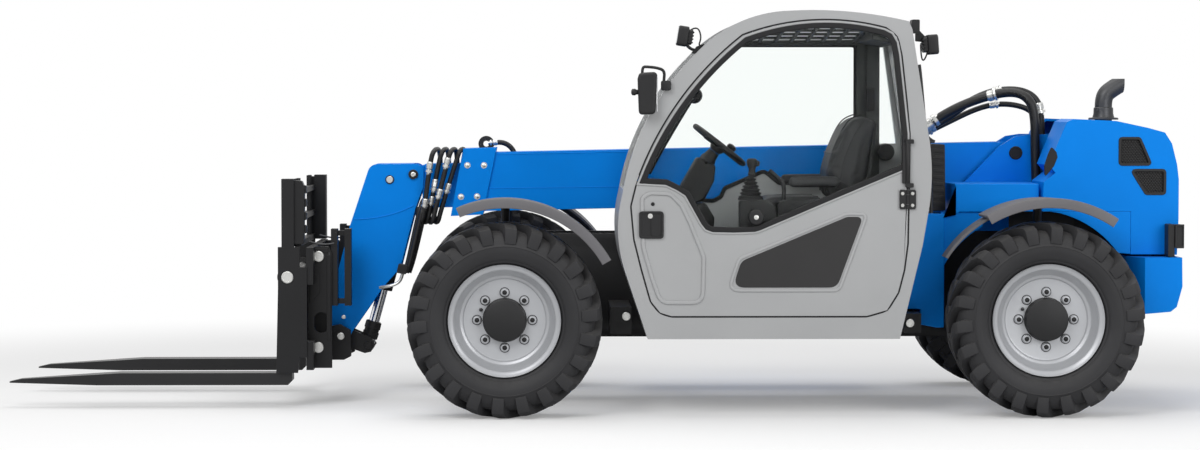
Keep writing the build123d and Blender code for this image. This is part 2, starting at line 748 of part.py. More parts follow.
# ---- cab -----------------------------------------------------------------------
# side outline of the cab: X across, Z up
with BuildSketch() as cab_outline:
    with BuildLine():
        Line((234, 347), (132, 650))
        ThreePointArc((132, 650), (103, 830), (122, 982))
        ThreePointArc((122, 982), (252, 1350), (444, 1599))
        ThreePointArc((444, 1599), (625, 1732), (855, 1786))
        ThreePointArc((855, 1786), (1116, 1782), (1376, 1740))
        Line((1376, 1740), (1391, 1706))
        Line((1391, 1706), (1470, 1208))
        ThreePointArc((1470, 1208), (1479, 1070), (1470, 933))
        Line((1470, 933), (1440, 757))
        Line((1440, 757), (1342, 347))
        Line((1342, 347), (234, 347))
    make_face()
cab_inside = offset(cab_outline.sketch, amount=-cab_wall)
cab_fit = offset(cab_outline.sketch, amount=seat_gap)
cab_glass_outer = offset(cab_outline.sketch, amount=-10)
cab_glass_inner = offset(cab_outline.sketch, amount=-16)

# outline of the door, with round corners
with BuildSketch() as door_outline:
    with BuildLine():
        Polyline((190, 1040), (163, 930), (176, 786), (210, 650), (249, 513), (288, 464), (337, 449))
        Polyline((337, 449), (1196, 449), (1284, 474), (1332, 552), (1357, 650), (1372, 767), (1374, 913))
        Polyline((1374, 913), (1378, 1247), (1364, 1394), (1342, 1589), (1323, 1672), (1274, 1708))
        ThreePointArc((1274, 1708), (960, 1742), (649, 1677))
        ThreePointArc((649, 1677), (400, 1425), (190, 1040))
    make_face()
door_opening = offset(door_outline.sketch, amount=door_gap)
with BuildSketch() as window_outline:
    with BuildLine():
        Polyline((226, 1050), (317, 1045), (414, 992), (492, 856), (520, 836), (708, 838), (1352, 1112))
        Polyline((1352, 1112), (1350, 1247), (1334, 1394), (1312, 1589), (1298, 1655), (1260, 1681))
        ThreePointArc((1260, 1681), (960, 1711), (668, 1650))
        ThreePointArc((668, 1650), (428, 1406), (226, 1050))
    make_face()
window_glass = offset(window_outline.sketch, amount=-seat_gap)

# right side window, whose sill steps over the inner console, and the quarter window behind the post
with BuildSketch() as right_window:
    with BuildLine():
        Polyline((205, 940), (560, 930), (597, 948), (614, 988), (790, 1065), (807, 1056), (863, 1010))
        Polyline((863, 1010), (1218, 1010), (1218, 1652), (660, 1652), (520, 1560), (360, 1340), (196, 1030),
                 (205, 940))
    make_face()
    with BuildLine():
        Polyline((1325, 1196), (1405, 1196), (1345, 1640), (1325, 1640), (1325, 1196))
    make_face()
right_glass = offset(right_window.sketch, amount=-seat_gap)

with BuildPart() as cab_frame:
    with BuildSketch(Plane.XZ.offset(-cab_right)):
        add(cab_outline.sketch)
    extrude(amount=cab_width)
    with BuildSketch(Plane.XZ.offset(-(cab_right - cab_wall))):
        add(cab_inside)
    extrude(amount=cab_width - 2 * cab_wall, mode=Mode.SUBTRACT)
    # doorway
    with BuildSketch(Plane.XZ.offset(-(cab_left + cab_wall + 20))):
        add(door_opening)
    extrude(amount=cab_wall + 40, mode=Mode.SUBTRACT)
    # windscreen
    with BuildSketch(Plane.XZ.offset(-(cab_right - 52))):
        with BuildLine():
            Polyline((0, 1004), (200, 1004), (360, 1350), (520, 1580), (620, 1640), (560, 1800), (0, 1800),
                     (0, 1004))
        make_face()
    extrude(amount=cab_width - 104, mode=Mode.SUBTRACT)
    # roof light and rear window
    with BuildSketch(Plane.XZ.offset(-(cab_right - 70))):
        with Locations((960, 1740)):
            Rectangle(560, 140)
        with BuildLine():
            Polyline((1380, 1160), (1500, 1160), (1500, 1620), (1360, 1620), (1380, 1160))
        make_face()
    extrude(amount=cab_width - 140, mode=Mode.SUBTRACT)
    # windows in the right wall
    with BuildSketch(Plane.XZ.offset(-(cab_right + 10))):
        add(right_window.sketch)
    extrude(amount=cab_wall + 20, mode=Mode.SUBTRACT)
    # hinge leaf of the doorway, with the two end barrels
    with Locations((door_hinge_x + 23, cab_left - 4, hinge_z)):
        Box(28, 9, hinge_height)
    for end in (-1, 1):
        with Locations((door_hinge_x, door_hinge_y, hinge_z + end * 3 * hinge_height / 8)):
            Cylinder(hinge_r, hinge_height / 4)
        with Locations((door_hinge_x + 6, cab_left - 6, hinge_z + end * 3 * hinge_height / 8)):
            Box(12, 5, hinge_height / 4)
    for end in (-1, 1):
        with Locations((door_hinge_x, door_hinge_y, upper_hinge_z + end * 96)):
            Cylinder(hinge_r, 16)
        with Locations((door_hinge_x + 12, cab_left - 6, upper_hinge_z + end * 96)):
            Box(24, 5, 16)
        with Locations((door_hinge_x + 19, cab_left - 4, upper_hinge_z + end * 96)):
            Box(12, 9, 16)
cab_frame.part.label = "cab_frame"
export_step(cab_frame.part, "parts/cab_frame.step")

with BuildPart() as cab_glass:
    # windscreen follows the outline
    with BuildSketch(Plane.XZ.offset(-(cab_right - 52 - seat_gap))):
        add(cab_glass_outer)
        add(cab_glass_inner, mode=Mode.SUBTRACT)
        with BuildLine():
            Polyline((0, 1004.3), (200, 1004.3), (360, 1350), (520, 1580), (610, 1640), (560, 1800), (0, 1800),
                     (0, 1004.3))
        make_face(mode=Mode.INTERSECT)
    extrude(amount=cab_width - 104 - 2 * seat_gap)
    with BuildSketch(Plane.XZ.offset(-(cab_right - 70 - seat_gap))):
        add(cab_glass_outer)
        add(cab_glass_inner, mode=Mode.SUBTRACT)
        with BuildLine():
            Polyline((680.3, 1700), (1239.7, 1700), (1239.7, 1800), (680.3, 1800), (680.3, 1700))
        make_face(mode=Mode.INTERSECT)
    extrude(amount=cab_width - 140 - 2 * seat_gap)
    with BuildSketch(Plane.XZ.offset(-(cab_right - 70 - seat_gap))):
        add(cab_glass_outer)
        add(cab_glass_inner, mode=Mode.SUBTRACT)
        with BuildLine():
            Polyline((1384, 1160.3), (1500, 1160.3), (1500, 1619.7), (1364, 1619.7), (1384, 1160.3))
        make_face(mode=Mode.INTERSECT)
    extrude(amount=cab_width - 140 - 2 * seat_gap)
    # right windows
    with BuildSketch(Plane.XZ.offset(-(cab_right - 12))):
        add(right_glass)
    extrude(amount=6)
cab_glass.part.label = "cab_glass"
export_step(cab_glass.part, "parts/cab_glass.step")

with BuildPart() as roof_guard:
    for rail_y in (cab_right - 90, cab_left + 90):
        with Locations((980, rail_y, 1694)):
            Box(590, 16, 32)
    with Locations(*[(700 + 72 * slat, (cab_left + cab_right) / 2, 1694) for slat in range(8)]):
        Box(12, cab_width - 2 * (cab_wall + seat_gap), 30)
roof_guard.part.label = "roof_guard"
export_step(roof_guard.part, "parts/roof_guard.step")

with BuildPart() as door_panel:
    with BuildSketch(Plane.XZ.offset(-(cab_left + door_thick))):
        add(door_outline.sketch)
        add(window_outline.sketch, mode=Mode.SUBTRACT)
    extrude(amount=door_thick + 2)
    # hinge leaf with its barrel, and the long barrel of the upper hinge
    with Locations((door_hinge_x - 23, cab_left - 6.5, hinge_z)):
        Box(30, 9, hinge_height)
    with Locations((door_hinge_x - 8, cab_left - 7, hinge_z)):
        Box(14, 5, hinge_height / 2 - 2)
    with Locations((door_hinge_x, door_hinge_y, hinge_z)):
        Cylinder(hinge_r, hinge_height / 2 - 2 * seat_gap)
    with Locations((door_hinge_x, door_hinge_y, upper_hinge_z)):
        Cylinder(hinge_r + 1.5, 172)
    for arm_z in (upper_hinge_z - 60, upper_hinge_z, upper_hinge_z + 60):
        with Locations((door_hinge_x - 12, cab_left - 5.5, arm_z)):
            Box(20, 10, 30)
door_panel.part.label = "door_panel"
export_step(door_panel.part, "parts/door_panel.step")

with BuildPart() as door_glass:
    with BuildSketch(Plane.XZ.offset(-(cab_left + 16))):
        add(window_glass)
    extrude(amount=6)
door_glass.part.label = "door_glass"
export_step(door_glass.part, "parts/door_glass.step")

with BuildPart() as door_handle:
    with Locations((252, cab_left - 9.3, 866)):
        Box(96, 14, 110)
door_handle.part.label = "door_handle"
export_step(door_handle.part, "parts/door_handle.step")

# ---- inside the cab ------------------------------------------------------------
with BuildPart() as seat:
    with BuildSketch(Plane.XZ.offset(450 - 225)):
        with BuildLine():
            Polyline(
                (760, 880), (728, 905), (722, 935), (755, 962), (1034, 966), (1034, 1075), (1060, 1166),
                (1114, 1285), (1154, 1326), (1200, 1336), (1248, 1318), (1262, 1294), (1250, 1210),
                (1226, 1050), (1195, 900), (1160, 870), (760, 880),
            )
        make_face()
    extrude(amount=450)
    with Locations((990, -450, 629)):
        Box(340, 380, 483.4)
    for side in (-1, 1):
        with Locations((1006, -450 + side * 246, 1034)):
            Box(300, 44, 46)

seat.part.label = "seat"
export_step(seat.part, "parts/seat.step")

wheel_tilt = 38
steer_plane = Plane(
    origin=(557, -450, 1180),
    x_dir=(math.cos(math.radians(wheel_tilt)), 0, -math.sin(math.radians(wheel_tilt))),
    z_dir=(math.sin(math.radians(wheel_tilt)), 0, math.cos(math.radians(wheel_tilt))),
)
with BuildPart() as steering_column:
    with BuildSketch(steer_plane.offset(-20)):
        Circle(26)
    extrude(amount=-180)
    with BuildSketch(Plane.XZ.offset(450 - 110)):
        with BuildLine():
            Polyline((300, 387.3), (240, 640), (290, 900), (395, 1025), (467, 1146), (550, 1104), (544, 1032),
                     (500, 948), (545, 870), (520, 600), (540, 387.3), (300, 387.3))
        make_face()
    extrude(amount=220)
steering_column.part.label = "steering_column"
export_step(steering_column.part, "parts/steering_column.step")

with BuildPart() as steering_wheel:
    with BuildSketch(steer_plane * Plane.XZ):
        with Locations((136, 18)):
            Circle(12)
    revolve(axis=Axis(steer_plane.origin, steer_plane.z_dir))
    with BuildSketch(steer_plane.offset(-19.7)):
        Circle(34)
    extrude(amount=38)
    with BuildSketch(steer_plane.offset(-2)):
        for spoke_angle in (0, 120, 240):
            with Locations(Rotation(0, 0, spoke_angle) * Location((68, 0))):
                Rectangle(136, 26)
    extrude(amount=14)
steering_wheel.part.label = "steering_wheel"
export_step(steering_wheel.part, "parts/steering_wheel.step")

with BuildPart() as side_console:
    with BuildSketch(Plane.XZ.offset(450 + 245)):
        with BuildLine():
            Polyline((640, 387.3), (636, 958), (756, 960), (800, 935), (812, 860), (812, 387.3), (640, 387.3))
        make_face()
    extrude(amount=90)
    with Locations((690, -740, 1000)):
        Cone(46, 16, 84)
    with Locations((694, -740, 1065)):
        Cylinder(10, 80)
    with Locations((698, -740, 1102)):
        Cylinder(21, 48)
side_console.part.label = "side_console"
export_step(side_console.part, "parts/side_console.step")

# ---- mirror, lamps, wipers -----------------------------------------------------
with BuildPart() as mirror_arm:
    with Locations((230, -868, 1424)):
        Box(86, 60, 190)
    with Locations((311, cab_left - 9.3, 1454)):
        Box(48, 18, 44)
    with Locations((282, -853, 1454)):
        Box(60, 14, 16)
mirror_arm.part.label = "mirror"
export_step(mirror_arm.part, "parts/mirror.step")

with BuildPart() as work_lamps:
    with Locations((399, -745, 1672)):
        Box(80, 110, 100)
    with BuildSketch(Plane.XZ.offset(783)):
        with BuildLine():
            Polyline((420, 1660), (476, 1660), (490, 1600), (440, 1560), (420, 1660))
        make_face()
        add(cab_fit, mode=Mode.SUBTRACT)
    extrude(amount=20)
    with Locations((1486, -700, 1640)):
        Box(80, 110, 100)
    with BuildSketch(Plane.XZ.offset(690)):
        with BuildLine():
            Polyline((1380, 1690), (1456, 1690), (1456, 1650), (1380, 1650), (1380, 1690))
        make_face()
        add(cab_fit, mode=Mode.SUBTRACT)
    extrude(amount=20)
work_lamps.part.label = "work_lamps"
export_step(work_lamps.part, "parts/work_lamps.step")

# ---- hydraulic hoses -----------------------------------------------------------
# four hoses cross over the inner boom and run down the back edge of the boom head
with BuildPart() as nose_hoses:
    for hose in range(4):
        hose_x = -622 - 40 * hose
        hose_y = -36 - 24 * (hose % 2)
        hose_z = boom_pivot_z + inner_top + 0.7 + (hose_x - boom_pivot_x) * math.sin(math.radians(boom_slope))
        turn_z = 850 + 12 * hose
        with BuildLine() as nose_route:
            FilletPolyline(
                (hose_x, 40 + 24 * hose, hose_z), (hose_x, 40 + 24 * hose, 1166), (hose_x, hose_y, 1166),
                (hose_x - 60, hose_y, turn_z), (-800 - 12 * hose, hose_y, turn_z - 26),
                (-872 - 12 * (hose // 2), hose_y, 600),
                radius=(26, 26, 18, 18),
            )
        with BuildSketch(Plane(origin=nose_route.line @ 0, z_dir=nose_route.line % 0)):
            Circle(10.5)
        sweep(path=nose_route.line)
nose_hoses.part.label = "nose_hoses"
export_step(nose_hoses.part, "parts/nose_hoses.step")

# supply hoses arch from the boom back to the chassis
rear_hose_table = (
    # radius, bend radii, route
    (16, (60, 120, 110, 90), ((1600, 50, 1197.4), (1600, 50, 1280), (1800, 30, 1400), (1960, -30, 1432),
                              (2082, -88, 1330), (2082, -88, 1018.4))),
    (13, (60, 120, 110, 90), ((1600, 95, 1197.4), (1600, 95, 1300), (1820, 95, 1425), (1990, 95, 1450),
                              (2112, 95, 1370), (2112, 95, 1040.4))),
    (10, (50, 100, 80, 60), ((1600, 130, 1197.4), (1600, 130, 1270), (1830, 130, 1372), (1960, 130, 1380),
                             (2112, 130, 1310), (2112, 130, 1040.4))),
)
with BuildPart() as rear_hoses:
    for hose_r, bends, route in rear_hose_table:
        with BuildLine() as rear_route:
            FilletPolyline(*route, radius=bends)
        with BuildSketch(Plane(origin=rear_route.line @ 0, z_dir=rear_route.line % 0)):
            Circle(hose_r)
        sweep(path=rear_route.line)
rear_hoses.part.label = "rear_hoses"
export_step(rear_hoses.part, "parts/rear_hoses.step")
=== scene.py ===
import math
import bpy
import bmesh
from mathutils import Matrix, Vector


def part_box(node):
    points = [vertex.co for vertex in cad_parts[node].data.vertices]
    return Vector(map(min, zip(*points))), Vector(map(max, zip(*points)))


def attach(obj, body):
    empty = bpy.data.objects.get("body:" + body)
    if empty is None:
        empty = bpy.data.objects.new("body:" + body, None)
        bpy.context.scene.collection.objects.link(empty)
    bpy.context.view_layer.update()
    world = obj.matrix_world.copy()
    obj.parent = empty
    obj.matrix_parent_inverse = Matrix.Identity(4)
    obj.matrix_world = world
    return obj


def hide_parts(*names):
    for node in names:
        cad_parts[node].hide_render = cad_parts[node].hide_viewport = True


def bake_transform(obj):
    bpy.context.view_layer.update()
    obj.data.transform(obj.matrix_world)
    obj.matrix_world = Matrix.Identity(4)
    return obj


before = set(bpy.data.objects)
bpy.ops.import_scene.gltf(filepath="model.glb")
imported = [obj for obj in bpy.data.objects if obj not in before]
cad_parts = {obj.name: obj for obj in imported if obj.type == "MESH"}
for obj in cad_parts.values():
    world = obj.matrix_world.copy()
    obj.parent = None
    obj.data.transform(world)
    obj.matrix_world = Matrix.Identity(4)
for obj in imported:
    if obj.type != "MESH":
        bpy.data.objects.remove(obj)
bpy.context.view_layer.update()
origin = (0, 0, 0)
white = (1, 1, 1, 1)

# camera, lamps and floor: telephoto from the left, a little above hub height
stage = {
    "cameraPlace": (-0.1945, -13.905, 1.365),
    "tiltDown": 2.261,
    "turnRight": 0.958,
    "lens": 89.67,
    "sensorWidth": 36,
    "farthest": 200,
    # name, place, aim, size, power
    "lamps": (("keyLamp", (-3.5, -7.5, 6.5), (0, 0, 0.8), 5.0, 400),
              ("fillLamp", (5.5, -7.0, 3.0), (0.6, 0, 0.8), 4.0, 215),
              ("topLamp", (0, 1.0, 8.0), origin, 6.0, 200)),
    "worldLevel": 0.42,
    "floorReach": 300,
    "floorColour": (0.76, 0.76, 0.76, 1),
    "floorGlow": 0.22,
    "fadeStart": 3.2,
    "fadeEnd": 6.0,
}


def linked(name, data):
    thing = bpy.data.objects.new(name, data)
    bpy.context.scene.collection.objects.link(thing)
    return thing


def addNodes(tree, rows, **made):
    # rows: name, kind (None for a node at hand), inputs, settings; a text input is "node.output"
    for name, kind, inputs, *settings in rows:
        if kind:
            made[name] = tree.nodes.new(kind if "Node" in kind else "ShaderNode" + kind)
        node = made[name]
        for key, value in (settings[0] if settings else {}).items():
            setattr(node, key, value)
        for socket, value in inputs.items():
            if isinstance(value, str):
                source, _, output = value.partition(".")
                tree.links.new(made[source].outputs[output or 0], node.inputs[socket])
            else:
                node.inputs[socket].default_value = value


def newGroup(name, kind, inputs, outputs):
    # a node group with named sockets, its input and output nodes
    tree = bpy.data.node_groups.new(name, kind)
    for socketName, socketKind, *value in inputs:
        socket = tree.interface.new_socket(socketName, in_out="INPUT", socket_type="NodeSocket" + socketKind)
        if value:
            socket.default_value = value[0]
    for socketName, socketKind in outputs:
        tree.interface.new_socket(socketName, in_out="OUTPUT", socket_type="NodeSocket" + socketKind)
    return tree, {"start": tree.nodes.new("NodeGroupInput"), "end": tree.nodes.new("NodeGroupOutput")}


def makeStage():
    scene = bpy.context.scene
    scene.view_settings.view_transform = "Standard"
    cameraData = bpy.data.cameras.new("mainCamera")
    cameraData.lens = stage["lens"]
    cameraData.sensor_width = stage["sensorWidth"]
    cameraData.clip_end = stage["farthest"]
    camera = linked("mainCamera", cameraData)
    camera.location = stage["cameraPlace"]
    camera.rotation_euler = (math.radians(90 - stage["tiltDown"]), 0, -math.radians(stage["turnRight"]))
    scene.camera = camera
    for name, place, aim, size, power in stage["lamps"]:
        lampData = bpy.data.lights.new(name, "AREA")
        lampData.energy = power
        lampData.size = size
        lamp = linked(name, lampData)
        lamp.location = place
        lamp.rotation_euler = (Vector(aim) - Vector(place)).to_track_quat("-Z", "Y").to_euler()
    # the world is white to the camera and dimmer as a light
    world = bpy.data.worlds.new("studio")
    scene.world = world
    world.use_nodes = True
    world.node_tree.nodes.clear()
    largest = {"operation": "MAXIMUM"}
    addNodes(world.node_tree, (
        ("rays", "LightPath", {}),
        ("straight", "Math", {0: "rays.Is Camera Ray", 1: "rays.Is Transmission Ray"}, largest),
        ("seen", "Math", {0: "straight", 1: "rays.Is Glossy Ray"}, largest),
        ("soft", "Background", {"Color": white, "Strength": stage["worldLevel"]}),
        ("bright", "Background", {"Color": white, "Strength": 1.0}),
        ("mix", "MixShader", {0: "seen", 1: "soft", 2: "bright"}),
        ("output", "OutputWorld", {0: "mix"}),
    ))
    # the paper glows a little, and turns plain white away from the machine
    paper = bpy.data.materials.new("floorPaper")
    paper.use_nodes = True
    paper.node_tree.nodes.clear()
    addNodes(paper.node_tree, (
        ("rays", "LightPath", {}),
        ("paper", "BsdfDiffuse", {"Color": stage["floorColour"]}),
        ("seen", "Math", {0: "rays.Is Camera Ray", 1: "rays.Is Transmission Ray"}, largest),
        ("level", "Math", {0: "seen", 1: stage["floorGlow"]}, {"operation": "MULTIPLY"}),
        ("glow", "Emission", {"Color": white, "Strength": "level"}),
        ("both", "AddShader", {0: "paper", 1: "glow"}),
        ("place", "TexCoord", {}),
        ("distance", "VectorMath", {0: "place.Object"}, {"operation": "LENGTH"}),
        ("fade", "MapRange", {"From Min": stage["fadeStart"], "From Max": stage["fadeEnd"],
                              "Value": "distance.Value"}, {"interpolation_type": "SMOOTHSTEP"}),
        ("fadeSeen", "Math", {0: "fade.Result", 1: "seen"}, {"operation": "MULTIPLY"}),
        ("plain", "Emission", {"Color": white, "Strength": 1.0}),
        ("mix", "MixShader", {0: "fadeSeen", 1: "both", 2: "plain"}),
        ("output", "OutputMaterial", {0: "mix"}),
    ))
    mesh = bpy.data.meshes.new("floor")
    reach = stage["floorReach"]
    mesh.from_pydata([(-reach, -reach, 0), (reach, -reach, 0), (reach, reach, 0), (-reach, reach, 0)], [],
                     [(0, 1, 2, 3)])
    floor = linked("floor", mesh)
    floor.data.materials.append(paper)


def makeGrainGroup():
    # fine grain plus broad cloudy colour change, and thin dust on faces that look up
    tree, made = newGroup("surfaceGrain", "ShaderNodeTree", (
        ("Colour", "Color", (0.5, 0.5, 0.5, 1)),
        ("Dust Colour", "Color", (0.5, 0.48, 0.45, 1)),
        ("Dust", "Float", 0.1),
        ("Cloud", "Float", 0.1),
        ("Grain Scale", "Float", 400.0),
        ("Roughness", "Float", 0.4),
        ("Roughness Spread", "Float", 0.1),
    ), (("Colour", "Color"), ("Roughness", "Float"), ("Height", "Float")))
    times = {"operation": "MULTIPLY"}
    addNodes(tree, (
        ("place", "TexCoord", {}),
        ("cloud", "TexNoise", {"Scale": 3.2, "Detail": 5, "Vector": "place.Object"}),
        ("grain", "TexNoise", {"Detail": 3, "Vector": "place.Object", "Scale": "start.Grain Scale"}),
        # cloud darkens and lightens the colour
        ("shade", "MapRange", {"From Min": 0.3, "From Max": 0.7, "To Min": -1, "To Max": 1, "Value": "cloud.Fac"}),
        ("amount", "Math", {0: "shade.Result", 1: "start.Cloud"}, times),
        ("gain", "Math", {0: "amount", 1: 1.0}, {"operation": "ADD"}),
        ("tint", "VectorMath", {0: "start.Colour"}, {"operation": "SCALE"}),
        ("tint", None, {"Scale": "gain"}),
        # dust gathers on faces that look up
        ("geometry", "NewGeometry", {}),
        ("split", "SeparateXYZ", {0: "geometry.Normal"}),
        ("upward", "MapRange", {"From Min": 0.2, "From Max": 1.0, "Value": "split.Z"}),
        ("speck", "TexNoise", {"Scale": 38, "Detail": 6, "Vector": "place.Object"}),
        ("patch", "Math", {0: "upward.Result", 1: "speck.Fac"}, times),
        ("dusty", "Math", {0: "patch", 1: "start.Dust"}, {"operation": "MULTIPLY", "use_clamp": True}),
        ("blend", "Mix", {}, {"data_type": "RGBA"}),
        ("blend", None, {"Factor": "dusty", "A": "tint", "B": "start.Dust Colour"}),
        ("centred", "Math", {0: "grain.Fac", 1: 0.5}, {"operation": "SUBTRACT"}),
        ("spread", "Math", {0: "centred", 1: "start.Roughness Spread", 2: "start.Roughness"},
         {"operation": "MULTIPLY_ADD"}),
        ("rough", "Math", {0: "dusty", 1: 0.5, 2: "spread"}, {"operation": "MULTIPLY_ADD"}),
        ("end", None, {"Colour": "blend.Result", "Roughness": "rough", "Height": "grain.Fac"}),
    ), **made)
    return tree


finishColumns = ("colour", "rough", "spread", "cloud", "dust", "grain", "bump", "coat", "metal", "specular", "glow")
finishes = {
    "machineBlue": ((0.0, 0.225, 0.79), 0.42, 0.08, 0.04, 0.06, 900, 0.012, 0.0, 0.0, 0.08),
    "cabGrey": ((0.375, 0.38, 0.385), 0.42, 0.08, 0.03, 0.06, 900, 0.01, 0.0, 0.0, 0.2),
    "frameBlack": ((0.009, 0.009, 0.01), 0.42, 0.14, 0.16, 0.1, 700, 0.03, 0.0, 0.0, 0.28),
    "forkSteel": ((0.013, 0.013, 0.014), 0.38, 0.16, 0.2, 0.08, 500, 0.05, 0.0, 0.0, 0.35),
    "rimSilver": ((0.44, 0.45, 0.47), 0.36, 0.1, 0.05, 0.06, 800, 0.012, 0.2, 0.25, 0.4),
    "tyreRubber": ((0.024, 0.024, 0.026), 0.6, 0.2, 0.18, 0.12, 260, 0.1, 0.0, 0.0, 0.3),
    "hoseRubber": ((0.01, 0.01, 0.011), 0.45, 0.16, 0.15, 0.08, 600, 0.06, 0.0, 0.0, 0.35),
    "fenderGrey": ((0.135, 0.132, 0.14), 0.6, 0.16, 0.08, 0.16, 1400, 0.12, 0.0, 0.0, 0.3),
    "mouldedBlack": ((0.013, 0.013, 0.014), 0.5, 0.16, 0.1, 0.1, 1500, 0.1, 0.0, 0.0, 0.3),
    "rubberTrim": ((0.007, 0.007, 0.008), 0.52, 0.14, 0.1, 0.05, 900, 0.06, 0.0, 0.0, 0.3),
    "insetGrey": ((0.024, 0.0235, 0.024), 0.55, 0.16, 0.08, 0.08, 1500, 0.1, 0.0, 0.0, 0.3),
    "seatVinyl": ((0.018, 0.018, 0.02), 0.55, 0.14, 0.1, 0.05, 700, 0.16, 0.0, 0.0, 0.35),
    "zincSilver": ((0.66, 0.66, 0.64), 0.3, 0.2, 0.08, 0.04, 1100, 0.02, 0.0, 0.85, 0.5),
    "rodChrome": ((0.74, 0.75, 0.77), 0.16, 0.06, 0.03, 0.02, 1100, 0.006, 0.0, 1.0, 0.5),
    "redLens": ((0.3, 0.012, 0.01), 0.16, 0.06, 0.04, 0.03, 1300, 0.02, 0.6, 0.0, 0.5),
    "clearLens": ((0.55, 0.57, 0.58), 0.12, 0.05, 0.04, 0.03, 1300, 0.02, 0.6, 0.3, 0.5),
    "paleLining": ((0.4, 0.4, 0.4), 0.75, 0.1, 0.05, 0.0, 1600, 0.12, 0.0, 0.0, 0.2),
    # painted light: the pale roof sheet glows, standing for the bright roof above the cab
    "paintedRoofGlow": ((0.76, 0.77, 0.77), 0.6, 0.1, 0.05, 0.0, 300.0, 0.002, 0.0, 0.0, 0.2, 0.3),
    # dark trim on the roof, and painted shade with the glass's tint on the inside of the far wall
    "darkTrimAndShade": ((0.055, 0.058, 0.057), 0.7, 0.1, 0.08, 0.0, 1600, 0.12, 0.0, 0.0, 0.25),
    "exhaustSteel": ((0.06, 0.061, 0.064), 0.42, 0.2, 0.25, 0.05, 500, 0.05, 0.0, 0.7, 0.5),
}


def makeFinish(name, grainGroup):
    values = dict(zip(finishColumns, finishes[name]))
    made = bpy.data.materials.new(name)
    made.use_nodes = True
    addNodes(made.node_tree, (
        ("grain", "Group", {}, {"node_tree": grainGroup}),
        ("grain", None, {"Colour": (*values["colour"], 1), "Dust": values["dust"], "Cloud": values["cloud"],
                         "Grain Scale": values["grain"], "Roughness": values["rough"],
                         "Roughness Spread": values["spread"]}),
        ("bump", "Bump", {"Strength": min(1.0, values["bump"] * 4), "Distance": 0.0006, "Height": "grain.Height"}),
        ("shader", None, {"Base Color": "grain.Colour", "Roughness": "grain.Roughness", "Normal": "bump.Normal",
                          "Metallic": values["metal"], "Coat Weight": values["coat"], "Coat Roughness": 0.12,
                          "Specular IOR Level": values["specular"]}),
    ), shader=made.node_tree.nodes["Principled BSDF"])
    if "glow" in values:
        addNodes(made.node_tree, (("shader", None, {"Emission Color": (*values["colour"], 1),
                                                    "Emission Strength": values["glow"]}),),
                 shader=made.node_tree.nodes["Principled BSDF"])
    return made


def makeGlassFinish():
    made = bpy.data.materials.new("cabGlass")
    made.use_nodes = True
    addNodes(made.node_tree, (
        ("place", "TexCoord", {}),
        ("haze", "TexNoise", {"Scale": 9, "Vector": "place.Object"}),
        ("level", "MapRange", {"To Min": 0.0, "To Max": 0.03, "Value": "haze.Fac"}),
        ("shader", None, {"Base Color": (0.97, 0.99, 0.98, 1), "Transmission Weight": 1.0, "IOR": 1.12,
                          "Roughness": "level.Result"}),
    ), shader=made.node_tree.nodes["Principled BSDF"])
    return made


# mesh helpers
limits = {"merge": 0.00001, "copyMerge": 0.00002, "flat": 1.0, "bevelFrom": 35, "smooth": 40, "latheSmooth": 38,
          "tubeSmooth": 50, "corner": 0.5}


def opened(mesh):
    shape = bmesh.new()
    shape.from_mesh(mesh)
    return shape


def closed(shape, mesh=None, outward=True):
    mesh = mesh or bpy.data.meshes.new("shape")
    if outward:
        bmesh.ops.recalc_face_normals(shape, faces=shape.faces)
    shape.to_mesh(mesh)
    shape.free()
    return mesh


def evaluated(piece):
    depsgraph = bpy.context.evaluated_depsgraph_get()
    return bpy.data.meshes.new_from_object(piece.evaluated_get(depsgraph))


def moved(mesh, place, *turns):
    for axis, degrees in turns:
        mesh.transform(Matrix.Rotation(math.radians(degrees), 4, axis))
    mesh.transform(Matrix.Translation(place))
    return mesh


def aboutZ(mesh):
    # a lathe piece made about Y is stood up on Z
    mesh.transform(Matrix.Rotation(math.radians(90), 4, "X"))
    return mesh


def painted(mesh, finishName):
    mesh.materials.clear()
    mesh.materials.append(finish[finishName])
    return mesh


def bakeModifiers(piece):
    mesh, oldMesh = evaluated(piece), piece.data
    piece.modifiers.clear()
    piece.data = mesh
    bpy.data.meshes.remove(oldMesh)


def smoothByAngle(mesh, limit=limits["smooth"]):
    shape = opened(mesh)
    for face in shape.faces:
        face.smooth = True
    for edge in shape.edges:
        edge.smooth = len(edge.link_faces) == 2 and edge.calc_face_angle(0) < math.radians(limit)
    return closed(shape, mesh, False)


def joinMeshes(meshes):
    # one mesh out of several, material slots by order of first use
    shape = bmesh.new()
    slots = []
    for mesh in meshes:
        base = len(shape.faces)
        shape.from_mesh(mesh)
        shape.faces.ensure_lookup_table()
        own = list(mesh.materials)
        for face in shape.faces[base:]:
            used = own[face.material_index] if own else None
            if used not in slots:
                slots.append(used)
            face.material_index = slots.index(used)
    joined = closed(shape, None, False)
    for used in slots:
        if used is not None:
            joined.materials.append(used)
    for mesh in meshes:
        bpy.data.meshes.remove(mesh)
    return joined


def addPiece(name, mesh, finishName, body, replaces=()):
    # a mesh, or a list of them joined into one, becomes a piece that rides on a body
    mesh = joinMeshes(mesh) if isinstance(mesh, list) else mesh
    mesh.name = name
    piece = linked(name, mesh)
    if finishName:
        painted(mesh, finishName)
    if body:
        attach(piece, body)
    if replaces:
        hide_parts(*replaces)
    return piece


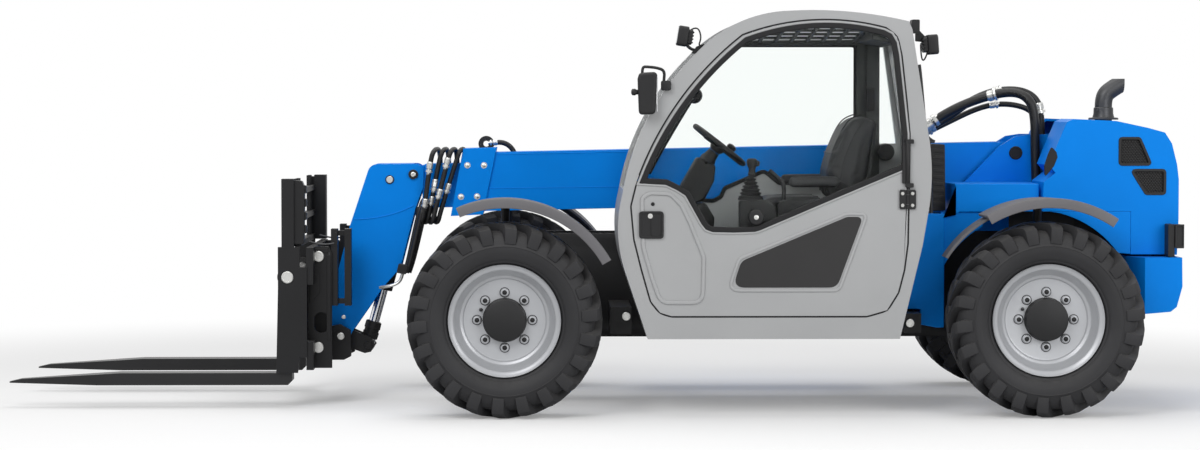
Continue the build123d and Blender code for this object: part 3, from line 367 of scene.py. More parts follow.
def rounded(name, mesh, finishName, body, bevel=0.003, segments=2, replaces=()):
    # a piece with rounded edges; large flat faces keep their own normals beside them
    piece = addPiece(name, mesh, finishName, body)
    if bevel:
        edge = piece.modifiers.new("edges", "BEVEL")
        edge.width = bevel
        edge.segments = segments
        edge.limit_method = "ANGLE"
        edge.angle_limit = math.radians(limits["bevelFrom"])
        bakeModifiers(piece)
    smoothByAngle(piece.data)
    piece.modifiers.new("flatFaces", "WEIGHTED_NORMAL").keep_sharp = True
    bakeModifiers(piece)
    painted(piece.data, finishName)
    if replaces:
        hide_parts(*replaces)
    return piece


def softCopy(nodeName, finishName, body, bevel, name):
    # a merged copy of a CAD node with rounded edges stands for it
    shape = opened(bpy.data.objects[nodeName].data)
    bmesh.ops.remove_doubles(shape, verts=shape.verts, dist=limits["copyMerge"])
    bmesh.ops.dissolve_limit(shape, angle_limit=math.radians(limits["flat"]), verts=shape.verts, edges=shape.edges)
    rounded(name, closed(shape, None, False), finishName, body, bevel, 2, (nodeName,))


def lathe(profile, turns, centre=origin, side=1, start=0.0, sweep=360.0):
    # profile: (distance outward along the axle, radius); spun about a line along Y
    shape = bmesh.new()
    full = sweep == 360.0
    count = turns if full else turns + 1
    rings = []
    for step in range(count):
        angle = math.radians(start + sweep * step / turns)
        rings.append([shape.verts.new((centre[0] + radius * math.cos(angle), centre[1] + side * out,
                                       centre[2] + radius * math.sin(angle))) for out, radius in profile])
    points = len(profile)
    for step in range(turns):
        ring, nextRing = rings[step], rings[(step + 1) % count]
        for k in range(points):
            shape.faces.new((ring[k], ring[(k + 1) % points], nextRing[(k + 1) % points], nextRing[k]))
    if not full:
        shape.faces.new(rings[0])
        shape.faces.new(list(reversed(rings[-1])))
    bmesh.ops.remove_doubles(shape, verts=shape.verts, dist=limits["merge"])
    return smoothByAngle(closed(shape), limits["latheSmooth"])


def onPlane(plane, a, b, c):
    return {"XZ": (a, c, b), "XY": (a, b, c), "YZ": (c, a, b)}[plane]


def prism(outline, low, high, plane="XZ"):
    # low and high are along the third axis
    shape = bmesh.new()
    front, back = ([shape.verts.new(onPlane(plane, a, b, depth)) for a, b in outline] for depth in (low, high))
    shape.faces.new(front)
    shape.faces.new(list(reversed(back)))
    for k in range(len(outline)):
        shape.faces.new((front[k - 1], front[k], back[k], back[k - 1]))
    return closed(shape)


def plate(outline, low, high, radius, steps=3, plane="XZ"):
    # a prism with rounded corners
    return prism(roundOutline(outline, radius, steps), low, high, plane)


def band(outer, inner, low, high):
    # a flat ring between two outlines with the same number of points
    shape = bmesh.new()
    rows = [[shape.verts.new((a, depth, b)) for a, b in line]
            for line, depth in ((outer, low), (inner, low), (inner, high), (outer, high))]
    for k in range(len(outer)):
        for j in range(4):
            shape.faces.new((rows[j][k - 1], rows[j][k], rows[(j + 1) % 4][k], rows[(j + 1) % 4][k - 1]))
    return closed(shape)


def corners(x0, z0, x1, z1):
    return [(x0, z0), (x1, z0), (x1, z1), (x0, z1)]


def roundOutline(points, radius, steps=3):
    result = []
    count = len(points)
    for k in range(count):
        before, here, after = Vector(points[k - 1]), Vector(points[k]), Vector(points[(k + 1) % count])
        toBefore, toAfter = before - here, after - here
        angle = toBefore.angle(toAfter)
        reach = min(radius / math.tan(angle / 2), toBefore.length * 0.45, toAfter.length * 0.45)
        first = here + toBefore.normalized() * reach
        second = here + toAfter.normalized() * reach
        for step in range(steps + 1):
            t = step / steps
            spot = first * (1 - t) ** 2 + here * 2 * t * (1 - t) + second * t ** 2
            result.append((spot.x, spot.y))
    return result


def insetOutline(points, distance):
    # moves a closed outline inwards by a distance
    area = sum(points[k - 1][0] * points[k][1] - points[k][0] * points[k - 1][1] for k in range(len(points)))
    turn = 1 if area > 0 else -1
    result = []
    for k in range(len(points)):
        before, here, after = Vector(points[k - 1]), Vector(points[k]), Vector(points[(k + 1) % len(points)])
        first, second = (here - before).normalized(), (after - here).normalized()
        normal = Vector((-(first.y + second.y), first.x + second.x)).normalized() * turn
        spread = max(0.35, normal.dot(Vector((-first.y, first.x)) * turn))
        spot = here + normal * (distance / spread)
        result.append((spot.x, spot.y))
    return result


def arcThrough(first, middle, last, steps):
    # points along the circle through three points, the last one left out
    (ax, ay), (bx, by), (cx, cy) = first, middle, last
    d = 2 * (ax * (by - cy) + bx * (cy - ay) + cx * (ay - by))
    ux = ((ax * ax + ay * ay) * (by - cy) + (bx * bx + by * by) * (cy - ay) + (cx * cx + cy * cy) * (ay - by)) / d
    uy = ((ax * ax + ay * ay) * (cx - bx) + (bx * bx + by * by) * (ax - cx) + (cx * cx + cy * cy) * (bx - ax)) / d
    start, mid, end = (math.atan2(y - uy, x - ux) for x, y in (first, middle, last))
    radius = math.hypot(ax - ux, ay - uy)
    sweep = (end - start) % (2 * math.pi)
    if (mid - start) % (2 * math.pi) > sweep:
        sweep -= 2 * math.pi
    return [(ux + radius * math.cos(start + sweep * k / steps), uy + radius * math.sin(start + sweep * k / steps))
            for k in range(steps)]


def tube(points, radius, sides=8, smoothSteps=14):
    # a bent tube along control points
    curve = bpy.data.curves.new("tube", "CURVE")
    curve.dimensions = "3D"
    spline = curve.splines.new("NURBS")
    spline.points.add(len(points) - 1)
    for point, place in zip(spline.points, points):
        point.co = (*place, 1)
    spline.order_u = 3
    spline.use_endpoint_u = True
    curve.resolution_u = smoothSteps
    curve.bevel_depth = radius
    curve.bevel_resolution = max(1, sides // 4)
    curve.use_fill_caps = True
    holder = linked("tube", curve)
    mesh = evaluated(holder)
    bpy.data.objects.remove(holder)
    return smoothByAngle(mesh, limits["tubeSmooth"])


def bevelled(mesh, width, segments=4):
    shape = opened(mesh)
    edges = [edge for edge in shape.edges
             if len(edge.link_faces) == 2 and edge.calc_face_angle(0) > limits["corner"]]
    bmesh.ops.bevel(shape, geom=edges, offset=width, segments=segments, profile=0.5, affect="EDGES")
    return closed(shape, mesh, False)


def makeCopier(name, inputs, rows):
    # a geometry node group that sets copies of a part down, and the names of its sockets
    tree, made = newGroup(name, "GeometryNodeTree",
                          (("Geometry", "Geometry"), ("Part", "Object"), *inputs, ("Finish", "Material")),
                          (("Geometry", "Geometry"),))
    addNodes(tree, (("info", "GeometryNodeObjectInfo", {"Object": "start.Part"}), *rows), **made)
    return tree, {item.name: item.identifier for item in tree.interface.items_tree if item.in_out == "INPUT"}


def runCopier(copier, partMesh, spots, finishName, values):
    tree, sockets = copier
    part = linked("part", partMesh)
    holder = linked("holder", spots)
    repeat = holder.modifiers.new("repeat", "NODES")
    repeat.node_group = tree
    for name, value in {"Part": part, "Finish": finish[finishName], **values}.items():
        repeat[sockets[name]] = value
    mesh = evaluated(holder)
    bpy.data.objects.remove(holder)
    bpy.data.objects.remove(part)
    return mesh


def ringOf(partMesh, count, startAngle, centre, finishName):
    # copies of a part turned about the axle
    return runCopier(ringCopier, partMesh, bpy.data.meshes.new("empty"), finishName,
                     {"Count": count, "Start Angle": startAngle, "Centre": centre})


def copiesAt(name, partMesh, points, finishName, body):
    # one part set down on every point
    spots = bpy.data.meshes.new("spots")
    spots.from_pydata(points, [], [])
    addPiece(name, runCopier(spotCopier, partMesh, spots, finishName, {"Size": 1.0}), None, body)


tyre = {
    "lugCount": 22,
    "edgeRound": 0.0022,
    "rootDepth": 0.012,
    "turns": 144,
    # half section, from the middle plane outwards: (out, radius)
    "carcass": ((0.0, 0.398), (0.060, 0.398), (0.106, 0.393), (0.124, 0.382), (0.1345, 0.366), (0.1410, 0.350),
                (0.1450, 0.334), (0.1468, 0.330), (0.1480, 0.3285), (0.1480, 0.3260), (0.1462, 0.3245),
                (0.1460, 0.312), (0.1425, 0.297), (0.134, 0.277),
                (0.1275, 0.266), (0.1225, 0.2635), (0.1215, 0.259), (0.117, 0.2535), (0.110, 0.2515),
                (0.106, 0.246), (0.101, 0.2265)),
    # lug stations: out, tip radius, root radius, turn in degrees, half width at tip, half width at root
    "lug": ((-0.016, 0.4285, 0.392, 15.0, 0.020, 0.027), (0.045, 0.430, 0.392, 7.0, 0.022, 0.030),
            (0.096, 0.4285, 0.388, -0.3, 0.024, 0.033), (0.130, 0.4215, 0.378, -3.4, 0.0255, 0.0335),
            (0.1470, 0.407, 0.366, -4.3, 0.0255, 0.0315), (0.1496, 0.378, 0.350, -4.4, 0.0250, 0.0290),
            (0.1484, 0.340, 0.334, -4.4, 0.0235, 0.0250)),
}


def lugMesh(side):
    # one tread lug around an axle at the origin
    shape = bmesh.new()
    rows = []
    for out, tip, root, turn, halfTip, halfRoot in tyre["lug"]:
        row = []
        for radius, half in ((root, -halfRoot), (tip, -halfTip), (tip, halfTip), (root, halfRoot)):
            depth = out if radius == tip else out - tyre["rootDepth"]
            angle = math.pi / 2 + math.radians(turn) + half / radius
            row.append(shape.verts.new((radius * math.cos(angle), side * depth, radius * math.sin(angle))))
        rows.append(row)
    for k in range(len(rows) - 1):
        for j in range(4):
            shape.faces.new((rows[k][j], rows[k][(j + 1) % 4], rows[k + 1][(j + 1) % 4], rows[k + 1][j]))
    shape.faces.new(rows[0])
    shape.faces.new(list(reversed(rows[-1])))
    bmesh.ops.recalc_face_normals(shape, faces=shape.faces)
    tipEdges = [edge for edge in shape.edges
                if len(edge.link_faces) == 2 and edge.calc_face_angle(0) > limits["corner"]]
    bmesh.ops.bevel(shape, geom=tipEdges, offset=tyre["edgeRound"], segments=2, profile=0.6, affect="EDGES")
    return smoothByAngle(closed(shape, None, False), 32)


def makeTyre(centre):
    half = [(-out, radius) for out, radius in reversed(tyre["carcass"][1:])]
    parts = [painted(lathe(half + list(tyre["carcass"]), tyre["turns"], centre), "tyreRubber")]
    for side, shift in ((-1, 0.0), (1, 0.5)):
        parts.append(ringOf(lugMesh(side), tyre["lugCount"], 2 * math.pi / tyre["lugCount"] * shift, centre,
                            "tyreRubber"))
    return parts


rim = {
    # outer face of the wheel, out from the middle plane and radius
    "section": ((0.124, 0.2455), (0.1215, 0.2425), (0.1180, 0.2395), (0.1135, 0.231), (0.110, 0.2245), (0.104, 0.2205),
                (0.096, 0.2185), (0.088, 0.2165), (0.079, 0.2105), (0.066, 0.2035), (0.058, 0.199), (0.0535, 0.1935),
                (0.0525, 0.1865), (0.0485, 0.1825), (0.0435, 0.1795), (0.0420, 0.170), (0.0415, 0.096),
                (0.0415, 0.060), (0.0255, 0.060), (0.0255, 0.176), (-0.008, 0.196), (-0.055, 0.190), (-0.110, 0.214),
                (-0.118, 0.2375), (-0.124, 0.2410), (-0.124, 0.2460), (-0.113, 0.2460), (-0.104, 0.2262),
                (-0.076, 0.2262), (-0.052, 0.203), (-0.010, 0.206), (0.070, 0.2262), (0.104, 0.2262),
                (0.113, 0.2455), (0.1185, 0.2475)),
    "turns": 120,
    "hubRadius": 0.0945,
    "nutCircle": 0.1215,
    "nutCount": 8,
    # profile, turns and finish of the rings on the bolt circle: sleeve, dark ground, stud
    "rings": ((((0.040, 0.0), (0.040, 0.0195), (0.0455, 0.0190), (0.048, 0.0165), (0.0575, 0.0155), (0.0585, 0.0140),
                (0.0585, 0.0112), (0.052, 0.0104), (0.052, 0.0)), 24, "rimSilver"),
              (((0.0405, 0.0), (0.0405, 0.0225), (0.0425, 0.0225), (0.0430, 0.0)), 24, "frameBlack"),
              (((0.050, 0.0), (0.050, 0.0102), (0.0545, 0.0102), (0.0560, 0.0080), (0.0560, 0.0)), 16,
               "mouldedBlack")),
    "stem": ((0.040, 0.0), (0.040, 0.0075), (0.0435, 0.0085), (0.054, 0.0050), (0.060, 0.0045), (0.061, 0.0)),
    "stemPlace": (-0.104, 0.045),
}


def makeRim(centre, side):
    parts = [painted(lathe(rim["section"], rim["turns"], centre, side), "rimSilver")]
    for profile, turns, finishName in rim["rings"]:
        part = moved(lathe(profile, turns, origin, side), (0, 0, rim["nutCircle"]))
        parts.append(ringOf(part, rim["nutCount"], 0.0, centre, finishName))
    r = rim["hubRadius"]
    hub = lathe(((0.041, 0.0), (0.041, r + 0.003), (0.0445, r + 0.003), (0.046, r), (0.078, r - 0.001),
                 (0.0845, r - 0.003), (0.087, r - 0.008), (0.0872, 0.0)), 72, centre, side)
    stem = lathe(rim["stem"], 14, (centre[0] + rim["stemPlace"][0], centre[1], centre[2] + rim["stemPlace"][1]), side)
    return parts + [painted(hub, "mouldedBlack"), painted(stem, "mouldedBlack")]


def makeWheels():
    for corner in ("front_left", "front_right", "rear_left", "rear_right"):
        low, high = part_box(corner + "_tyre")
        centre = tuple((a + b) / 2 for a, b in zip(low, high))
        side = -1 if "left" in corner else 1
        first, second = corner.split("_")
        name = first + second.capitalize()
        body = corner + "_wheel"
        addPiece(name + "Tyre", makeTyre(centre), None, body, (corner + "_tyre",))
        addPiece(name + "Rim", makeRim(centre, side), None, body, (corner + "_rim",))
        softCopy(corner + "_knuckle", "frameBlack", corner + "_knuckle", 0.004, name + "Knuckle")
    print("wheels done")


def boltHead(side=-1, radius=0.009, height=0.006, sides=6):
    # head on a washer, axle along Y
    washer = lathe(((0.0, 0.0), (0.0, radius * 1.55), (0.0018, radius * 1.5), (0.0018, 0.0)), 20, origin, side)
    head = lathe(((0.0015, 0.0), (0.0015, radius), (height, radius), (height + 0.001, radius * 0.86),
                  (height + 0.001, 0.0)), sides, origin, side)
    return joinMeshes([washer, head])


def pinHead(place, radius, height, side=-1, ring=0.0):
    # a pin's round head, with a raised rim where ring is its width
    profile = [(0.0, 0.0), (0.0, radius), (height - 0.002, radius), (height, radius - 0.002)]
    if ring:
        profile += [(height, radius - ring), (height - 0.003, radius - ring - 0.001), (height - 0.003, 0.0)]
    else:
        profile += [(height, 0.0)]
    return moved(lathe(profile, 40, origin, side), place)


# door: black rubber round the window, dark panel, pressed edge, handle and hinges
door = {
    "faceY": -0.832,
    "frameOut": 0.005,
    "panelRound": 0.050,
    "panel": ((0.6050, 0.5735), (0.6440, 0.6900), (1.1078, 0.8840), (1.1780, 0.8840), (1.0640, 0.5735)),
    "press": ((0.1991, 0.9714), (0.2384, 0.9977), (0.3346, 0.9933), (0.3871, 0.9408), (0.4243, 0.8665),
              (0.4877, 0.7090), (0.4830, 0.4991), (0.2850, 0.4991), (0.2450, 0.6100), (0.2050, 0.7500)),
    "window": ((0.226, 1.050), (0.317, 1.045), (0.370, 1.020), (0.414, 0.992), (0.452, 0.925), (0.486, 0.864),
               (0.500, 0.846), (0.522, 0.838), (0.610, 0.836), (0.700, 0.839), (0.720, 0.845), (1.000, 0.964),
               (1.340, 1.107), (1.351, 1.120), (1.350, 1.247), (1.334, 1.394), (1.312, 1.589), (1.302, 1.640),
               (1.286, 1.668)),
    # shut line of the door in the side of the cab
    "seam": ((0.190, 1.040), (0.163, 0.930), (0.176, 0.786), (0.210, 0.650), (0.249, 0.513), (0.288, 0.464),
             (0.337, 0.449), (1.196, 0.449), (1.284, 0.474), (1.332, 0.552), (1.357, 0.650),
             (1.372, 0.767), (1.3745, 0.913), (1.3775, 1.150), (1.378, 1.247), (1.364, 1.394),
             (1.342, 1.589), (1.323, 1.672), (1.274, 1.708)),
    "seamRound": 0.07,
    "knob": (0.7077, -0.836, 0.8822),
    "hingeX": 1.372,
    "hingeY": -0.840,
}


def windowOutline(grow):
    # outline of the door's window opening
    points = list(door["window"])
    points += arcThrough((1.260, 1.681), (0.960, 1.711), (0.668, 1.650), 16)
    points += arcThrough((0.668, 1.650), (0.428, 1.406), (0.226, 1.050), 16)
    return insetOutline(points, -grow)


def makeDoor():
    face, hingeX, hingeY = door["faceY"], door["hingeX"], door["hingeY"]
    rounded("doorRubber", band(windowOutline(0.021), windowOutline(-0.003), face - door["frameOut"], face + 0.022),
            "rubberTrim", "door", 0.004, 3)
    rounded("doorRubberLip", band(windowOutline(0.030), windowOutline(0.0205), face - 0.0060, face + 0.01),
            "cabGrey", "door", 0.0045, 3)
    rounded("doorPanelInset", plate(door["panel"], face - 0.0030, face + 0.004, door["panelRound"], 6),
            "insetGrey", "door", 0.002)
    outline = roundOutline(door["press"], 0.060, 8)
    rounded("doorPress", band(outline, insetOutline(outline, 0.017), face - 0.0075, face + 0.004),
            "cabGrey", "door", 0.0070, 4)
    wide = roundOutline(insetOutline(door["panel"], -0.020), 0.045, 6)
    rounded("panelPress", band(wide, insetOutline(wide, 0.014), face - 0.0060, face + 0.004),
            "cabGrey", "door", 0.0056, 4)
    seam = roundOutline(door["seam"], door["seamRound"], 6)
    seam = seam[:-7] + arcThrough((1.274, 1.708), (0.960, 1.742), (0.649, 1.677), 18)
    seam += arcThrough((0.649, 1.677), (0.400, 1.425), (0.190, 1.040), 24)
    rounded("doorSeam", band(insetOutline(seam, -0.0075), insetOutline(seam, -0.0005), face + 0.0012, face + 0.0040),
            "rubberTrim", "chassis", 0.0)
    # handle: recessed tray with a paddle, keyhole above
    tray = roundOutline(corners(0.195, 0.789, 0.303, 0.909), 0.016, 5)
    rounded("doorHandle", [band(tray, insetOutline(tray, 0.011), face - 0.011, face + 0.002),
                           prism(insetOutline(tray, 0.010), face - 0.0085, face + 0.001),
                           plate(corners(0.247, 0.800, 0.290, 0.893), face - 0.0125, face - 0.002, 0.010, 4)],
            "mouldedBlack", "door", 0.002, 2, ("door_handle",))
    for name, finishName, place, turns, profile in (
        ("doorLockHub", "zincSilver", (0.2440, face + 0.002, 0.888), 24,
         ((0.0, 0.0), (0.0, 0.011), (0.015, 0.011), (0.016, 0.0))),
        ("doorKeyhole", "mouldedBlack", (0.2555, face, 0.9399), 24,
         ((0.0, 0.0), (0.0, 0.0085), (0.003, 0.0080), (0.0035, 0.0050), (0.0015, 0.0045), (0.0015, 0.0))),
        # latch knob low on the window frame
        ("latchKnob", "mouldedBlack", door["knob"], 40,
         ((-0.01, 0.0), (-0.01, 0.034), (0.010, 0.034), (0.0165, 0.030), (0.018, 0.022), (0.018, 0.012), (0.018, 0.0))),
        ("latchCap", "zincSilver", door["knob"], 24,
         ((0.016, 0.0), (0.016, 0.011), (0.0205, 0.010), (0.0215, 0.007), (0.0215, 0.0))),
    ):
        addPiece(name, lathe(profile, turns, place, -1), finishName, "door")
    # lower hinge: two leaves and a barrel in three lengths
    rounded("doorHingeLeaf", plate(corners(1.335, 0.917, 1.366, 1.003), face - 0.0100, face, 0.009, 4),
            "mouldedBlack", "door", 0.0015)
    rounded("cabHingeLeaf", plate(corners(1.378, 0.917, 1.409, 1.003), hingeY, -0.8300, 0.009, 4),
            "mouldedBlack", "chassis", 0.0015)
    barrel = aboutZ(lathe(((-0.0205, 0.0), (-0.0205, 0.0078), (0.0205, 0.0078), (0.0205, 0.0)), 24))
    ends = [barrel.copy() for shift in range(2)]
    addPiece("doorHingeBarrel", moved(barrel, (hingeX, hingeY, 0.960)), "mouldedBlack", "door")
    for end, shift in zip(ends, (-0.0316, 0.0316)):
        end.transform(Matrix.Diagonal((1, 1, 0.5, 1)))
        moved(end, (hingeX, hingeY, 0.960 + shift))
    addPiece("cabHingeBarrels", ends, "mouldedBlack", "chassis")
    # upper hinge: a long barrel under a cover, held at both ends
    upper = aboutZ(lathe(((-0.0875, 0.0), (-0.0875, 0.0092), (-0.085, 0.0105), (0.085, 0.0105), (0.0875, 0.0092),
                          (0.0875, 0.0)), 28))
    addPiece("upperHingeBarrel", moved(upper, (hingeX, -0.8405, 1.118)), "mouldedBlack", "door")
    rounded("upperHingeCover", plate(corners(1.348, 1.030, 1.372, 1.207), -0.8435, face + 0.002, 0.006),
            "mouldedBlack", "door", 0.002)
    rounded("upperHingeEnds", [plate(corners(1.362, z - 0.0095, 1.398, z + 0.0095), -0.8490, -0.8295, 0.004)
                               for z in (1.022, 1.214)], "mouldedBlack", "chassis", 0.002)
    for name, x, y, body in (("doorHingeBolts", 1.350, face - 0.0100, "door"),
                             ("cabHingeBolts", 1.394, hingeY, "chassis")):
        copiesAt(name, boltHead(-1, 0.0048, 0.0035, 20), [(x, y, z) for z in (0.934, 0.986)], "zincSilver", body)
    print("door done")


# cab: linings with painted shade and a glowing roof sheet, seat, steering, levers
cab = {
    "innerRight": -0.116,
    "seatMiddle": -0.450,
    "seatHalf": 0.222,
    "clothFrames": 20,
    "clothCap": 0.014 * 0.7,
    "roofBars": 8,
}


def makeLiningsAndShade():
    inner = cab["innerRight"]

    def lining(name, outline, low, high, finishName="darkTrimAndShade", bevel=0.004, segments=2, radius=0.0, steps=3):
        # low and high are measured from the inner face of the far wall
        mesh = plate(outline, inner + low, inner + high, radius, steps) if radius \
            else prism(outline, inner + low, inner + high)
        return rounded(name, mesh, finishName, "chassis", bevel, segments)

    # painted shade: dark greenish plates on the far post, roof rail and front pillar stand for the shaded inside of the
    # far wall seen through the glass
    rounded("farPostLining", [plate(corners(1.2185, 1.000, 1.3245, 1.690), inner - 0.022, inner - 0.001, 0.012),
                              prism(corners(1.262, 1.01, 1.3225, 1.68), inner - 0.034, inner - 0.020)],
            "darkTrimAndShade", "chassis", 0.004)
    lining("roofRailLining", [(0.650, 1.644), (1.330, 1.652), (1.330, 1.674), (0.660, 1.668)], -0.030, -0.001,
           bevel=0.006)
    outer = arcThrough((0.150, 1.030), (0.335, 1.365), (0.625, 1.675), 18) + [(0.625, 1.675)]
    near = arcThrough((0.196, 1.030), (0.365, 1.345), (0.660, 1.652), 18) + [(0.660, 1.652)]
    lining("frontPillarLining", outer + list(reversed(near)), -0.030, -0.001)
    # painted light: a pale sheet under the guard glows to stand for the bright roof, falling to the far side, with dark
    # bars across
    addPiece("roofSheet", prism([(-0.768, 1.7300), (-0.768, 1.7330), (-0.130, 1.6780), (-0.130, 1.6750)],
                                0.650, 1.225, "YZ"), "paintedRoofGlow", "chassis")
    bars = []
    for k in range(cab["roofBars"]):
        x = 0.690 + 0.072 * k
        bars.append(prism([(-0.766, 1.7270), (-0.130, 1.6720), (-0.130, 1.6600), (-0.766, 1.7130)], x, x + 0.016, "YZ"))
    for y in (-0.600, -0.450, -0.300):
        z = 1.7300 - 0.0862 * (y + 0.768) - 0.004
        bars.append(prism([(y, z), (y + 0.016, z - 0.001), (y + 0.016, z - 0.012), (y, z - 0.011)], 0.650, 1.225, "YZ"))
    rounded("roofBars", bars, "darkTrimAndShade", "chassis", 0.0015, 1, ("roof_guard",))
    for name, outline in (("roofFront", [(0.600, 1.620), (0.672, 1.650), (0.672, 1.742), (0.640, 1.735)]),
                          ("roofRear", [(1.222, 1.660), (1.330, 1.640), (1.330, 1.7425), (1.222, 1.7425)])):
        rounded(name, prism(outline, -0.780, -0.125), "darkTrimAndShade", "chassis", 0.004)
    addPiece("grabRod", tube([(0.262, inner - 0.045, 1.060), (0.285, inner - 0.060, 1.110),
                              (0.395, inner - 0.060, 1.300), (0.470, inner - 0.060, 1.420),
                              (0.482, inner - 0.035, 1.445)], 0.009, 12), "mouldedBlack", "chassis")
    addPiece("roundPad", lathe(((0.0, 0.0), (0.0, 0.034), (0.012, 0.038), (0.026, 0.034), (0.030, 0.020), (0.030, 0.0)),
                               32, (0.470, inner - 0.030, 1.418)), "mouldedBlack", "chassis")
    # rubber round the right windows
    line = roundOutline([(0.205, 0.940), (0.560, 0.930), (0.597, 0.948), (0.614, 0.988), (0.790, 1.065), (0.807, 1.056),
                         (0.863, 1.010), (1.218, 1.010), (1.218, 1.652), (0.660, 1.652), (0.520, 1.560), (0.360, 1.340),
                         (0.196, 1.030)], 0.02)
    rounded("farWindowRubber", band(insetOutline(line, -0.006), insetOutline(line, 0.012), inner - 0.006,
                                    inner + 0.008), "rubberTrim", "chassis", 0.002, 1)
    # small latch on the far post, and an alarm behind the seat
    lining("postLatch", corners(1.262, 1.345, 1.300, 1.452), -0.060, -0.030, "mouldedBlack", 0.006, 2, 0.010)
    addPiece("rearAlarm", lathe(((0.0, 0.0), (0.0, 0.036), (0.020, 0.040), (0.052, 0.040), (0.060, 0.034),
                                 (0.060, 0.0)), 36, (1.352, -0.180, 1.158)), "mouldedBlack", "chassis")
    lining("sideLiner", corners(0.870, 0.800, 1.330, 1.004), -0.010, -0.001, "paleLining", 0.004, 2, 0.02)
    print("linings done")


def inflate(name, mesh, finishName, cap, voxel=0.006):
    # a filled cover: remeshed, swollen as cloth, its movement capped, then one subdivision
    piece = linked(name, mesh)
    remesh = piece.modifiers.new("even", "REMESH")
    remesh.mode = "VOXEL"
    remesh.voxel_size = voxel * 1
    bakeModifiers(piece)
    start = [vertex.co.copy() for vertex in piece.data.vertices]
    cloth = piece.modifiers.new("swell", "CLOTH")
    for key, value in {"use_pressure": True, "uniform_pressure_force": 4.0, "quality": 4, "tension_stiffness": 18,
                       "compression_stiffness": 18, "shear_stiffness": 8, "bending_stiffness": 1.2}.items():
        setattr(cloth.settings, key, value)
    cloth.settings.effector_weights.gravity = 0
    cloth.collision_settings.use_collision = False
    scene = bpy.context.scene
    for frameNumber in range(1, cab["clothFrames"] + 1):
        scene.frame_set(frameNumber)
    depsgraph = bpy.context.evaluated_depsgraph_get()
    swollen = [vertex.co.copy() for vertex in piece.evaluated_get(depsgraph).data.vertices]
    piece.modifiers.clear()
    for vertex, before, after in zip(piece.data.vertices, start, swollen):
        shift = after - before
        vertex.co = before + (shift.normalized() * cap if shift.length > cap else shift)
    scene.frame_set(1)
    smooth = piece.modifiers.new("smooth", "SMOOTH")
    smooth.factor = 0.5
    smooth.iterations = 4
    finer = piece.modifiers.new("finer", "SUBSURF")
    finer.levels = finer.render_levels = 1
    bakeModifiers(piece)
    for face in piece.data.polygons:
        face.use_smooth = True
    painted(piece.data, finishName)
    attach(piece, "chassis")


def makeSeat():
    middle, half = cab["seatMiddle"], cab["seatHalf"]
    cushion = plate([(0.742, 0.895), (0.738, 0.945), (0.790, 0.956), (1.000, 0.958), (1.050, 0.930), (1.055, 0.885)],
                    middle - half + 0.006, middle + half - 0.006, 0.03, 4)
    inflate("seatCushion", bevelled(cushion, 0.018), "seatVinyl", cab["clothCap"])
    back = plate([(1.044, 0.960), (1.046, 1.080), (1.068, 1.163), (1.120, 1.276), (1.158, 1.314), (1.199, 1.325),
                  (1.243, 1.308), (1.252, 1.290), (1.240, 1.205), (1.216, 1.050), (1.188, 0.930)],
                 middle - half + 0.008, middle + half - 0.008, 0.03, 4)
    inflate("seatBack", bevelled(back, 0.024), "seatVinyl", cab["clothCap"])
    # seams: one near each side of the back, piping along the bolsters and the cushion
    seams = []
    for side in (-1, 1):
        edge, bolster = middle + side * (half + 0.001), middle + side * (half - 0.070)
        for y, route in (
            (edge, ((1.090, 0.985), (1.094, 1.080), (1.118, 1.165), (1.165, 1.270), (1.196, 1.300))),
            (bolster, ((1.036, 0.985), (1.038, 1.080), (1.062, 1.166), (1.114, 1.283), (1.156, 1.323), (1.198, 1.333))),
            (bolster, ((0.745, 0.940), (0.775, 0.961), (0.880, 0.967), (1.000, 0.966))),
        ):
            seams.append(tube([(x, y, z) for x, z in route], 0.0028))
    seams.append(tube([(1.059, middle - half + 0.01, 1.160), (1.053, middle, 1.160),
                       (1.059, middle + half - 0.01, 1.160)], 0.0028))
    addPiece("seatSeams", seams, "rubberTrim", "chassis")
    for side, name in ((-1, "armrestLeft"), (1, "armrestRight")):
        y = middle + side * 0.246
        arm = plate([(0.858, 1.022), (0.870, 1.056), (1.070, 1.058), (1.092, 1.034), (1.074, 1.011), (0.880, 1.010)],
                    y - 0.019, y + 0.019, 0.016, 4)
        inflate(name, bevelled(arm, 0.012, 3), "seatVinyl", 0.003, 0.005)
    # pedestal, pan, arm brackets and the shell behind the back
    parts = [prism(corners(0.830, 0.392, 1.150, 0.860), middle - 0.185, middle + 0.185),
             plate([(0.770, 0.858), (1.175, 0.858), (1.190, 0.900), (0.775, 0.893)], middle - 0.205, middle + 0.205,
                   0.012)]
    for side in (-1, 1):
        y = middle + side * 0.235
        parts.append(plate([(1.060, 1.000), (1.150, 0.960), (1.165, 1.000), (1.090, 1.040)], y - 0.006, y + 0.006,
                           0.01))
    parts.append(prism([(1.196, 0.930), (1.226, 1.050), (1.248, 1.200), (1.259, 1.290), (1.2475, 1.306),
                        (1.236, 1.205), (1.212, 1.050), (1.184, 0.930)], middle - half + 0.03, middle + half - 0.03))
    rounded("seatBase", parts, "mouldedBlack", "chassis", 0.006, 2, ("seat",))
    print("seat done")


# steering wheel about its own axis, and where that axis stands
steering = {
    "tilt": 38,
    "place": (0.557, -0.450, 1.180),
    "rimRadius": 0.1355,
    "rimThick": 0.0125,
    "rimSides": 20,
    "hub": ((-0.019, 0.0), (-0.019, 0.024), (-0.004, 0.034), (0.010, 0.038), (0.016, 0.034), (0.018, 0.0)),
    "knob": ((0.020, 0.0), (0.020, 0.009), (0.030, 0.009), (0.034, 0.019), (0.044, 0.023), (0.054, 0.020),
             (0.059, 0.010), (0.060, 0.0)),
    "shaft": ((-0.200, 0.0), (-0.200, 0.028), (-0.120, 0.028), (-0.110, 0.034), (-0.060, 0.036), (-0.050, 0.030),
              (-0.021, 0.026), (-0.021, 0.0)),
}


